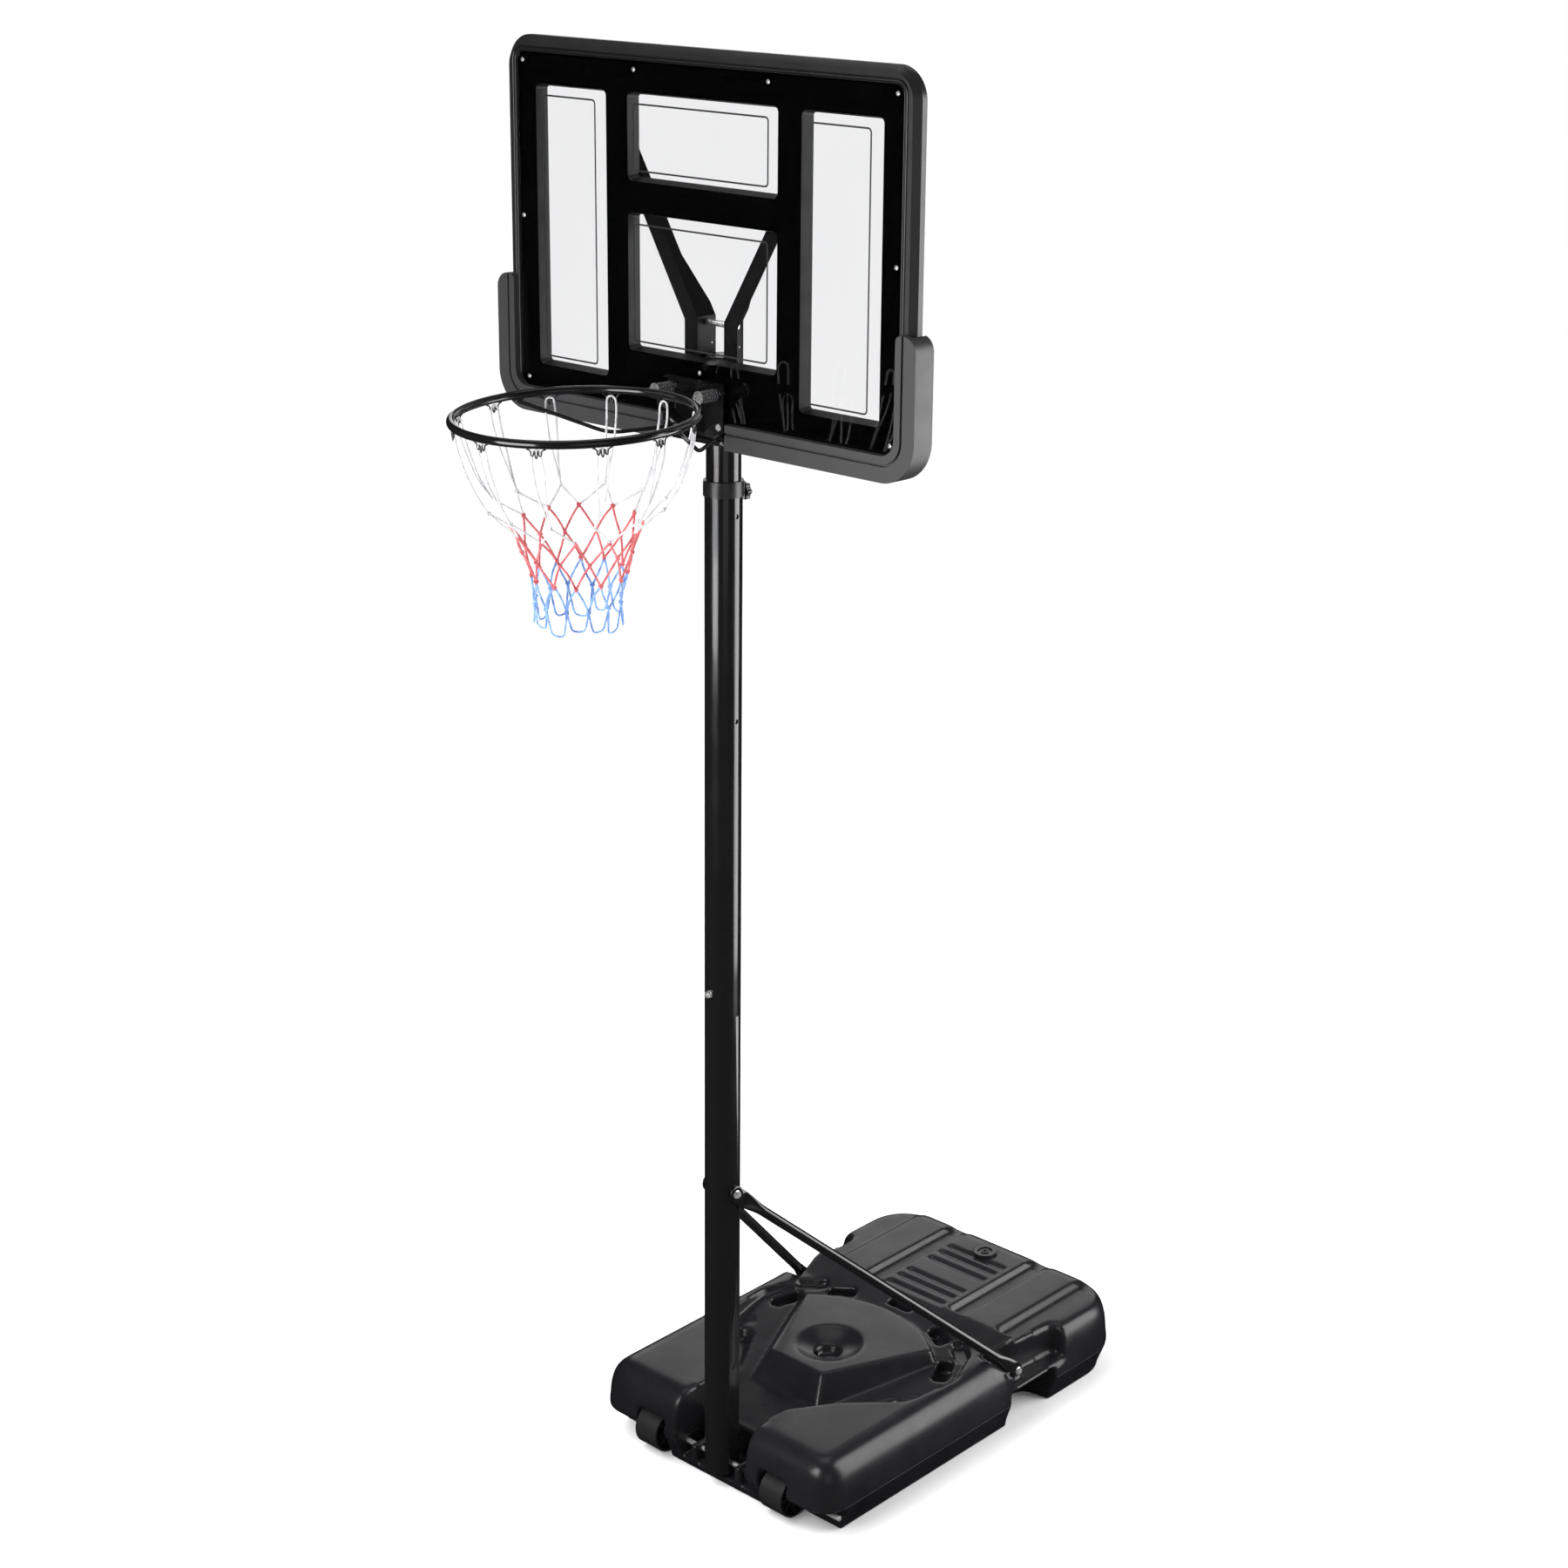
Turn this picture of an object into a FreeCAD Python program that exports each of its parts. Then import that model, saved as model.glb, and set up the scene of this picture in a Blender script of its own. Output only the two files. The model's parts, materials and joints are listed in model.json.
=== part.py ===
import FreeCAD, Part
import math
import os

V = FreeCAD.Vector
os.makedirs("parts", exist_ok=True)

# Driving dimensions, in millimetres. Y runs from the rim (-Y) to the ballast tank (+Y).
# Everything is laid out from the pole foot and moved to the row frame by SHIFT_Y at export.
SHIFT_Y = -455.0
LEAN_DEG = 2.5

POLE_R = 38.0
POLE_WALL = 1.6
TOP_R = 35.0
SEAM_Z = 1104.0
MID_TOP_Z = 2232.0
TOP_Z0 = 1400.0
TOP_Z1 = 2480.0
HEIGHT_HOLES = 7
HOLE_PITCH = 100.0
FOOT_Z = 28.0
STRUT_BOLT_Z = 700.0
STRUT_R = 11.2
JOINT_BOLT_Z = 1156.0
ARM_BOLT_Z = (2380.0, 2450.0)

WHEEL_R = 48.3
WHEEL_X0 = 161.0
WHEEL_X1 = 225.0
AXLE_R = 5.5
AXLE_HALF = 354.0

BOARD_HALF = 550.0
BOARD_Z0 = 2335.0
BOARD_Z1 = 3067.0
BOARD_FRONT = -69.0
BOARD_BACK = -36.0
BOARD_CORNER = 62.0
PANEL_HALF = 516.0
PANEL_Z0 = 2369.0
PANEL_Z1 = 3034.0
WINDOW_TAPER = 6.0
BOSS_R = 10.5
WINDOWS = {
    "left": (-467.0, -263.0, 2415.0, 2974.0),
    "right": (262.0, 465.0, 2415.0, 2974.0),
    "upper": (-203.0, 202.0, 2806.0, 2975.0),
    "lower": (-203.0, 202.0, 2476.0, 2746.0),
}

SCREWS = ((500.0, 3018.0), (180.0, 3018.0), (504.0, 2712.0), (496.0, 2386.0))

PAD_OUT = 570.0
PAD_IN = 85.0
PAD_Z0 = 2319.0
PAD_BAND = 50.0
PAD_TOP = 2594.0

RING_R = 231.0
RING_ROD = 8.0
BRACE_R = 3.8
HOOKS = 12
RING_Y = -392.0
RING_Z = 2416.0
HINGE_Y = -79.6
HINGE_Z = 2331.0
SPRING_X = 60.0
SPRING_Z = 2424.0
SPRING_LENGTH = 50.0
SPRING_R = 10.4
SPRING_WIRE = 1.6
SPRING_TURNS = 7
PLATE_FACE = -78.2
PLATE_BOLT_X = 63.0
PLATE_BOLT_Z = 2360.0
ARM_TOP_Z = 2872.0
ARM_BEND_Z = 2555.0
ARM_SPLAY = 0.60
ARM_X = 36.2
ARM_SCREW_DROP = 40.0
BEND_BOLT = (-8.0, 2545.0)
KNOB_Z = 2206.0
KNOB_Y = 50.0

TANK_HALF = 355.0
TANK_Y0 = -40.0
TANK_Y1 = 985.0
PART_Z = 65.0
LOBE_Z = 172.0
REAR_Z = 189.0
TANK_WALL = 6.0
PANEL_GROOVES = (645.0, 682.0, 716.0, 791.0, 829.0, 862.0)
LEDGE_Z0 = 88.0
LEDGE_Z1 = 100.0
FOOT_BOLT = (330.0, 616.0, 124.0)
CAP_Y = 893.0
CHAMBERS = ((75.0, 240.0), (243.0, 330.0), (333.0, 372.0), (375.0, 420.0), (423.0, 585.0), (588.0, 780.0),
            (783.0, 1000.0))


# ---------- helpers ----------
def box(x0, x1, y0, y1, z0, z1):
    return Part.makeBox(x1 - x0, y1 - y0, z1 - z0, V(x0, y0, z0))


def cyl(p, d, r, length):
    return Part.makeCylinder(r, length, V(*p), V(*d))


def tube(p, d, ro, ri, length):
    inner = V(*p) - V(*d) * 1.0
    return cyl(p, d, ro, length).cut(Part.makeCylinder(ri, length + 2.0, inner, V(*d)))


def mirrored(shape):
    return shape.mirror(V(0, 0, 0), V(1, 0, 0))


def both_sides(shape):
    return [shape, mirrored(shape)]


def rounded_wire(points, radii):
    """Closed wire through coplanar points, each corner rounded by its own radius."""
    n = len(points)
    edges = []
    ends = []
    for i in range(n):
        p = points[i]
        a = (points[i - 1] - p).normalize()
        b = (points[(i + 1) % n] - p).normalize()
        half = math.acos(max(-1.0, min(1.0, a.dot(b)))) / 2.0
        r = radii[i]
        if r <= 0.0 or half > 1.565:
            ends.append((p, p, None))
            continue
        cut = r / math.tan(half)
        mid_dir = (a + b).normalize()
        mid = p + mid_dir * (r / math.sin(half) - r)
        ends.append((p + a * cut, p + b * cut, mid))
    for i in range(n):
        start, stop, mid = ends[i]
        if mid is not None:
            edges.append(Part.Arc(start, mid, stop).toShape())
        following = ends[(i + 1) % n][0]
        if (following - stop).Length > 1e-6:
            edges.append(Part.makeLine(stop, following))
    return Part.Wire(edges)


def flat_wire(xy, z, radii):
    return rounded_wire([V(x, y, z) for x, y in xy], radii)


def prism(xy, z0, z1, radius=0.0):
    radii = radius if isinstance(radius, list) else [radius] * len(xy)
    return Part.Face(flat_wire(xy, z0, radii)).extrude(V(0, 0, z1 - z0))


def side_prism(yz, x0, x1):
    """Extrude a YZ polygon along X."""
    wire = Part.makePolygon([V(x0, y, z) for y, z in yz + yz[:1]])
    return Part.Face(wire).extrude(V(x1 - x0, 0, 0))


def plate_xz(xz, y0, y1, radius=0.0):
    """Extrude an XZ polygon along Y."""
    radii = radius if isinstance(radius, list) else [radius] * len(xz)
    wire = rounded_wire([V(x, y0, z) for x, z in xz], radii)
    return Part.Face(wire).extrude(V(0, y1 - y0, 0))


def rect_xz(x0, x1, z0, z1, y0, y1, radius):
    return plate_xz([(x0, z0), (x1, z0), (x1, z1), (x0, z1)], y0, y1, radius)


def taper_xz(x0, x1, z0, z1, y0, y1, radius, inset):
    """Rounded rectangle at y0 lofted to one smaller by inset at y1."""
    wires = []
    for y, d in ((y0, 0.0), (y1, inset)):
        pts = [V(x0 + d, y, z0 + d), V(x1 - d, y, z0 + d)]
        pts += [V(x1 - d, y, z1 - d), V(x0 + d, y, z1 - d)]
        wires.append(rounded_wire(pts, [max(radius - d, 1.0)] * 4))
    return Part.makeLoft(wires, True, True)


def hexagon(p, d, across, thick):
    """Hexagonal prism with its axis along X, Y or Z."""
    r = across / math.sqrt(3.0)
    d = V(*d)
    side = V(0, 0, 1) if abs(d.z) < 0.5 else V(1, 0, 0)
    other = d.cross(side)
    pts = []
    for k in range(7):
        a = math.radians(60.0 * k)
        pts.append(V(*p) + side * (r * math.cos(a)) + other * (r * math.sin(a)))
    return Part.Face(Part.makePolygon(pts)).extrude(d * thick)


def bolt(p, d, r, grip, across, head, tail):
    """Hex head under p, shank along d, washer and nut after the grip. One fused fastener."""
    d = V(*d)
    p = V(*p)
    parts = [hexagon(p - d * head, d, across, head)]
    parts.append(Part.makeCylinder(r, grip + tail, p, d))
    parts.append(Part.makeCylinder(across * 0.62, 1.6, p + d * grip, d))
    parts.append(hexagon(p + d * (grip + 1.6), d, across, head * 1.1))
    return parts[0].multiFuse(parts[1:]).removeSplitter()


def lean(shape):
    """Rake the whole upper assembly back about the axle."""
    s = shape.copy()
    s.rotate(V(0, 0, WHEEL_R), V(1, 0, 0), -LEAN_DEG)
    return s


def lean_point(p):
    a = math.radians(LEAN_DEG)
    dy = p.y
    dz = p.z - WHEEL_R
    return V(p.x, dy * math.cos(a) + dz * math.sin(a), WHEEL_R + dz * math.cos(a) - dy * math.sin(a))


def export(name, shapes, leaning=False):
    if not isinstance(shapes, list):
        shapes = [shapes]
    solids = []
    for s in shapes:
        if leaning:
            s = lean(s)
        s = s.copy()
        s.translate(V(0, SHIFT_Y, 0))
        solids += s.Solids
    for s in solids:
        if not s.isValid() or s.Volume <= 0.0:
            print("CHECK", name, s.isValid(), s.Volume)
    out = solids[0] if len(solids) == 1 else Part.makeCompound(solids)
    out.exportStep("parts/%s.step" % name)
    bb = out.BoundBox
    volume = sum(s.Volume for s in solids) / 1000.0
    size = (bb.XMin, bb.XMax, bb.YMin, bb.YMax, bb.ZMin, bb.ZMax)
    print("%-22s %2d solids %9.1f cm3" % (name, len(solids), volume), ["%.1f" % v for v in size])


# ---------- ballast tank ----------
def tank_section(z, inset):
    """Outline of the tank at height z, drawn in by inset."""
    w = TANK_HALF - inset
    y0 = TANK_Y0 + inset
    y1 = TANK_Y1 - inset
    front = max(62.0 - inset, 8.0)
    rear = max(115.0 - inset, 8.0)
    xy = [(-w, y0), (w, y0), (w, y1), (-w, y1)]
    return flat_wire(xy, z, [front, front, rear, rear])


def tank_body(t, top):
    """Stack of outlines that gives the moulded draft and the broad rounded shoulders up to top."""
    levels = [(t, 22.0), (14.0, 20.0), (PART_Z, 0.0), (top - 62.0, 4.0), (top - 40.0 - t, 9.0)]
    levels += [(top - 24.0 - t, 16.0), (top - 12.0 - t, 26.0), (top - 4.0 - t, 38.0), (top - t, 52.0)]
    body = None
    for (za, ia), (zb, ib) in zip(levels[:-1], levels[1:]):
        slab = Part.makeLoft([tank_section(za, ia + t), tank_section(zb, ib + t)], True, True)
        body = slab if body is None else body.fuse(slab)
    return body


def rear_region(t):
    """Where the tank rises from the lobes to the rear deck."""
    yz = [(560.0 + t, -10.0), (560.0 + t, LOBE_Z - t), (640.0 + t, REAR_Z + 1.0 - t)]
    yz += [(640.0 + t, 260.0), (1100.0, 260.0), (1100.0, -10.0)]
    return side_prism(yz, -420.0, 420.0)


def platform_z(y):
    return 118.0 + 0.15 * (y - 200.0)


def platform_cutter(t):
    """Sunken fan round the dome, on a floor that climbs to the rear, with the pole channel in front."""
    g = t
    fan = [(-105 - g, -90), (105 + g, -90), (105 + g, 95), (170 + g, 190), (285 + g, 300)]
    fan += [(300 + g, 440), (250 + g, 560 + g), (-250 - g, 560 + g), (-300 - g, 440)]
    fan += [(-285 - g, 300), (-170 - g, 190), (-105 - g, 95)]
    radii = [0, 0, 40, 60, 60, 60, 50, 50, 60, 60, 60, 40]
    column = prism(fan, 0.0, 260.0, radii)
    yz = [(-100.0, platform_z(72.0) - t), (74.0, platform_z(72.0) - t)]
    yz += [(560.0, platform_z(560.0) - t), (575.0 + g, 260.0), (-100.0, 260.0)]
    return column.common(side_prism(yz, -420.0, 420.0))


def fan_wire(z, half_front, y_front, half_rear, y_rear, y_top, grow):
    a = V(-half_front - grow, y_front - grow, z)
    b = V(half_front + grow, y_front - grow, z)
    c = V(half_rear + grow, y_rear + grow * 0.5, z)
    d = V(-half_rear - grow, y_rear + grow * 0.5, z)
    top = V(0, y_top + grow, z)
    rear = Part.Arc(c, top, d).toShape()
    return Part.Wire([Part.makeLine(a, b), Part.makeLine(b, c), rear, Part.makeLine(d, a)])


def dome(t):
    low = fan_wire(92.0, 106.0, 186.0, 255.0, 452.0, 566.0, -t)
    high = fan_wire(183.0 - t, 80.0, 240.0, 193.0, 478.0, 550.0, -t)
    shape = Part.makeLoft([low, high], True, True)
    dish = Part.makeSphere(150.0 + t, V(0, 350, 183.0 + 127.0))
    well = Part.makeCone(24.0 + t, 34.0 + t, 34.0, V(0, 344, 146.0 - t), V(0, 0, 1))
    return shape.cut(dish).cut(well)


def pocket(x, y, turn, wide, long, depth, t):
    xy = [(-wide / 2 - t, -long / 2 - t), (wide / 2 + t, -long / 2 - t)]
    xy += [(wide / 2 + t, long / 2 + t), (-wide / 2 - t, long / 2 + t)]
    s = prism(xy, 0.0, 120.0, 9.0 + t)
    s.rotate(V(0, 0, 0), V(0, 0, 1), turn)
    s.translate(V(x, y, platform_z(y) - depth - t))
    return s


def top_pockets(t):
    """Ring of relief pockets behind the dome and the shallow marks beside them."""
    cuts = [pocket(0.0, 592.0, 0.0, 70.0, 28.0, 26.0, t)]
    cuts += both_sides(pocket(150.0, 553.0, -26.0, 66.0, 32.0, 26.0, t))
    cuts += both_sides(pocket(242.0, 462.0, -62.0, 72.0, 36.0, 28.0, t))
    cuts += both_sides(pocket(229.0, 536.0, -38.0, 74.0, 34.0, 11.0, t))
    return cuts


def arrow_marks():
    cuts = []
    for s in (1, -1):
        xy = [(s * 268.0, 372.0), (s * 238.0, 350.0), (s * 268.0, 328.0), (s * 258.0, 350.0)]
        shape = prism(xy if s > 0 else xy[::-1], 0.0, 60.0, 1.5)
        shape.translate(V(0, 0, platform_z(350.0) - 3.5))
        cuts.append(shape)
    return cuts


def side_dishes(t):
    """Long teardrop dishes where the lobes meet the platform."""
    cuts = []
    for s in (1, -1):
        a = V(s * 150.0, 200.0, platform_z(200.0) + 6.0)
        b = V(s * 232.0, 300.0, platform_z(300.0) + 6.0)
        cone = Part.makeCone(8.0 + t, 26.0 + t, (b - a).Length, a, b - a)
        cuts.append(cone.fuse(Part.makeSphere(26.0 + t, b)))
    return cuts


def rear_valleys(t):
    """Two valleys each side that leave the broad ridges and the centre panel standing."""
    cuts = []
    for x0, x1, slope in ((104.0, 152.0, 7.0), (243.0, 420.0, 16.0)):
        x1_t = x1 + t
        x0_t = x0 - t
        depth = 15.0 + t
        top = REAR_Z + 4.0
        pts = [V(x0_t - 4.0, 640.0, top), V(x0_t + slope, 640.0, REAR_Z - depth)]
        pts += [V(x1_t - slope, 640.0, REAR_Z - depth), V(x1_t + 4.0, 640.0, top)]
        face = Part.Face(Part.makePolygon(pts + pts[:1]))
        cuts += both_sides(face.extrude(V(0, 400, 0)))
    return cuts


def panel_grooves(t):
    """Round-bottomed grooves across the centre panel; grown by t they clear the wall beneath."""
    half = 88.0 + t
    return [cyl((-half, y, REAR_Z + 5.0), (1, 0, 0), 11.0 + t, 2.0 * half) for y in PANEL_GROOVES]


def waist(t):
    """Side notch under the strut ledge and the open pocket above it."""
    g = t
    low = [(262 - g, 590 + 0), (400, 560 - g), (400, 735 + g), (262 - g, 712 + g)]
    high = [(298 - g, 596 - g), (400, 580 - g), (400, 742 + g), (312 - g, 772 + g)]
    cuts = []
    for s in (1, -1):
        a = [(s * x, y) for x, y in low]
        b = [(s * x, y) for x, y in high]
        cuts.append(prism(a if s > 0 else a[::-1], -10.0, LEDGE_Z0 + g, [26, 0, 0, 26]))
        cuts.append(prism(b if s > 0 else b[::-1], LEDGE_Z1 - g, 260.0, [14, 0, 0, 18]))
    return cuts


def strut_reliefs(t):
    """Sloped entry in front of each waist pocket that lets the strut come down to its lug."""
    drop = 1.4 * t
    yz = [(520.0, 190.0 - drop), (606.0, 104.0 - drop), (640.0, 104.0 - drop), (640.0, 260.0), (520.0, 260.0)]
    cuts = []
    for s in (1, -1):
        xy = [(s * (270.0 - t), 500.0), (s * 400.0, 500.0), (s * 400.0, 615.0), (s * (299.0 - t), 615.0)]
        cuts.append(prism(xy if s > 0 else xy[::-1], 90.0, 260.0).common(side_prism(yz, -420.0, 420.0)))
    return cuts


def wheel_wells(t):
    cuts = []
    cuts += both_sides(box(146.0 - t, 231.0 + t, -90.0, 62.0 + t, -10.0, 98.0 + t))
    cuts += both_sides(box(225.0, 420.0, -90.0, 24.0 + t, -10.0, 58.0 + t))
    return cuts


def tank_volume(t):
    s = tank_body(t, LOBE_Z).fuse(tank_body(t, REAR_Z).common(rear_region(t)))
    s = s.cut(platform_cutter(t))
    s = s.fuse(dome(t))
    tools = top_pockets(t) + side_dishes(t) + rear_valleys(t) + waist(t)
    tools += strut_reliefs(t) + wheel_wells(t)
    s = s.cut(tools[0].multiFuse(tools[1:]))
    # open channel for the pole foot, with a low saddle floor in the solid
    s = s.cut(box(-105.0 - t, 105.0 + t, -90.0, 62.0 + t, 20.0 - t, 240.0))
    return s


def build_tank():
    outer = tank_volume(0.0)
    marks = arrow_marks() + panel_grooves(0.0)
    outer = outer.cut(marks[0].multiFuse(marks[1:]))
    # saddle ears that carry the axle beside the pole foot
    for s in (1, -1):
        x0 = 58.0 if s > 0 else -76.0
        outer = outer.fuse(box(x0, x0 + 18.0, -24.0, 30.0, 14.0, 62.0))
    outer = outer.cut(cyl((0, CAP_Y, REAR_Z - 3.0), (0, 0, 1), 31.0, 20.0))
    # lugs on the ledges that take the strut feet
    bx, by, bz = FOOT_BOLT
    for s in (1, -1):
        lug = box(bx - 15.8, bx - 2.8, by - 11.0, by + 15.0, LEDGE_Z1 - 8.0, bz + 11.0)
        outer = outer.fuse(lug if s > 0 else mirrored(lug))
    # the hollow is cut in chambers, which leaves thin bulkheads across the tank
    inner = tank_volume(TANK_WALL)
    ribs = panel_grooves(TANK_WALL)
    inner = inner.cut(ribs[0].multiFuse(ribs[1:]))
    solid = outer.Solids[0]
    for y0, y1 in CHAMBERS:
        chamber = inner.common(box(-420.0, 420.0, y0, y1, -10.0, 400.0))
        solid = solid.cut(chamber)
    solid = solid.cut(cyl((0, CAP_Y, 160.0), (0, 0, 1), 17.0, 60.0))
    for s in (1, -1):
        solid = solid.cut(cyl((s * (bx - 26.0), by, bz), (s, 0, 0), 4.2, 30.0))
    # axle bore through the inner cheeks and the ears
    solid = solid.cut(cyl((-240.0, 0, WHEEL_R), (1, 0, 0), AXLE_R + 0.3, 480.0))
    return max(solid.Solids, key=lambda s: s.Volume)


def fill_cap():
    c = V(0, CAP_Y, REAR_Z - 1.5)
    ring = Part.makeCylinder(27.0, 7.0, c, V(0, 0, 1))
    ring = ring.cut(Part.makeCylinder(18.0, 4.0, c + V(0, 0, 3.5), V(0, 0, 1)))
    hub = Part.makeCylinder(9.0, 7.0, c, V(0, 0, 1))
    hub = hub.cut(Part.makeCylinder(5.0, 5.0, c + V(0, 0, 2.5), V(0, 0, 1)))
    plug = Part.makeCylinder(16.9, 15.0, c - V(0, 0, 14.9), V(0, 0, 1))
    cap = ring.fuse(hub).fuse(plug)
    for k in range(12):
        a = math.radians(30.0 * k)
        grip = c + V(27.6 * math.cos(a), 27.6 * math.sin(a), 0)
        cap = cap.cut(Part.makeCylinder(1.6, 9.0, grip, V(0, 0, 1)))
    return cap


def cap_gasket():
    """Flat seal between the cap's flange and the floor of its recess."""
    return tube((0, CAP_Y, REAR_Z - 2.98), (0, 0, 1), 25.0, 17.2, 1.4)


# ---------- wheels and axle ----------
def wheel():
    w = WHEEL_X1 - WHEEL_X0
    tread = tube((WHEEL_X0, 0, WHEEL_R), (1, 0, 0), WHEEL_R, WHEEL_R - 5.0, w)
    hub = cyl((WHEEL_X0, 0, WHEEL_R), (1, 0, 0), 13.0, w)
    web = cyl((WHEEL_X0 + w / 2 - 2.0, 0, WHEEL_R), (1, 0, 0), WHEEL_R - 2.0, 4.0)
    body = tread.multiFuse([hub, web])
    for k in range(8):
        rib = box(WHEEL_X0 + 5.0, WHEEL_X1 - 5.0, -1.5, 1.5, WHEEL_R + 10.0, WHEEL_R + WHEEL_R - 3.0)
        rib.rotate(V(0, 0, WHEEL_R), V(1, 0, 0), 45.0 * k)
        body = body.fuse(rib)
    return body.cut(cyl((WHEEL_X0 - 5.0, 0, WHEEL_R), (1, 0, 0), AXLE_R + 0.05, w + 10.0))


# ---------- pole ----------
def pole_lower():
    outer = cyl((0, 0, FOOT_Z), (0, 0, 1), POLE_R, SEAM_Z - FOOT_Z)
    neck_r = POLE_R - POLE_WALL - 0.1
    outer = outer.fuse(cyl((0, 0, SEAM_Z - 1.0), (0, 0, 1), neck_r, 126.0))
    bore = cyl((0, 0, FOOT_Z - 1.0), (0, 0, 1), neck_r - POLE_WALL, SEAM_Z + 200.0)
    # squeezed flat beside the saddle ears
    for s in (1, -1):
        pts = [(s * 35.6, FOOT_Z - 5), (s * 60, FOOT_Z - 5), (s * 60, 318), (s * 38.2, 318), (s * 35.6, 280)]
        outer = outer.cut(plate_xz(pts if s > 0 else pts[::-1], -60.0, 60.0))
    solid = outer.cut(bore)
    solid = solid.cut(cyl((-60, 0, WHEEL_R), (1, 0, 0), AXLE_R + 0.1, 120.0))
    solid = solid.cut(cyl((-60, 0, STRUT_BOLT_Z), (1, 0, 0), 4.2, 120.0))
    return solid.cut(cyl((0, -60, JOINT_BOLT_Z), (0, 1, 0), 4.2, 120.0))


def pole_middle():
    s = tube((0, 0, SEAM_Z + 0.4), (0, 0, 1), POLE_R, POLE_R - POLE_WALL, MID_TOP_Z - SEAM_Z - 0.4)
    for z in (1746.0, 2168.0):
        s = s.cut(cyl((20.0, 0, z), (1, 0, 0), 5.0, 40.0))
    s = s.cut(cyl((0, 20.0, KNOB_Z), (0, 1, 0), 5.0, 40.0))
    return s.cut(cyl((0, -60, JOINT_BOLT_Z), (0, 1, 0), 4.2, 120.0))


def pole_top():
    s = tube((0, 0, TOP_Z0), (0, 0, 1), TOP_R, TOP_R - POLE_WALL, TOP_Z1 - TOP_Z0)
    for k in range(HEIGHT_HOLES):
        s = s.cut(cyl((0, 20.0, KNOB_Z - HOLE_PITCH * k), (0, 1, 0), 4.5, 40.0))
    for z in ARM_BOLT_Z:
        s = s.cut(cyl((-60.0, 0, z), (1, 0, 0), 4.2, 120.0))
    return s


def guide_bush():
    """Plastic plug on the bottom of the sliding tube that runs in the middle tube."""
    s = tube((0, 0, TOP_Z0 - 12.0), (0, 0, 1), POLE_R - POLE_WALL - 0.05, TOP_R - POLE_WALL - 4.0, 11.9)
    bore_r = TOP_R - POLE_WALL
    return s.fuse(tube((0, 0, TOP_Z0 - 1.0), (0, 0, 1), bore_r - 0.1, bore_r - 4.0, 30.0))


def pole_cap():
    s = cyl((0, 0, TOP_Z1 + 0.1), (0, 0, 1), TOP_R, 4.0)
    return s.fuse(cyl((0, 0, TOP_Z1 - 16.0), (0, 0, 1), TOP_R - POLE_WALL - 0.1, 17.0))


def foot_cap():
    s = cyl((0, 0, FOOT_Z - 3.0), (0, 0, 1), 34.0, 2.9)
    return s.fuse(cyl((0, 0, FOOT_Z - 1.0), (0, 0, 1), 33.8, 9.0))


def collar_sleeve():
    """Plastic sleeve on the middle tube's mouth, with the screw boss at the back."""
    ring = tube((0, 0, 2206.0), (0, 0, 1), 41.0, POLE_R + 0.1, 26.2)
    crown = tube((0, 0, MID_TOP_Z + 0.2), (0, 0, 1), 40.4, TOP_R + 0.05, 5.0)
    boss = box(-13.0, 13.0, 32.0, KNOB_Y - 4.0, KNOB_Z - 13.0, KNOB_Z + 24.0)
    boss = boss.cut(cyl((0, 0, 2150.0), (0, 0, 1), POLE_R + 0.1, 90.0))
    body = ring.fuse(crown).fuse(boss).removeSplitter()
    return body.cut(cyl((0, 20.0, KNOB_Z), (0, 1, 0), 4.05, 60.0))


def locking_knob():
    """Seven-lobed hand knob on the clamp screw."""
    p = V(0, KNOB_Y, KNOB_Z)
    y = V(0, 1, 0)
    neck = Part.makeCylinder(9.0, 6.0, p - y * 3.9, y)
    parts = [Part.makeCylinder(16.0, 12.0, p, y)]
    for k in range(7):
        a = 2.0 * math.pi * k / 7.0
        lobe = p + V(14.4 * math.cos(a), 0, 14.4 * math.sin(a))
        parts.append(Part.makeCylinder(4.6, 12.0, lobe, y))
    body = neck.multiFuse(parts).removeSplitter()
    return body.cut(Part.makeCylinder(4.05, 10.0, p - y * 5.0, y))


def knob_screw():
    """Clamp screw, tip just short of the sliding tube."""
    return cyl((0, TOP_R + 0.6, KNOB_Z), (0, 1, 0), 4.0, KNOB_Y + 4.2 - TOP_R)


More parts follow.
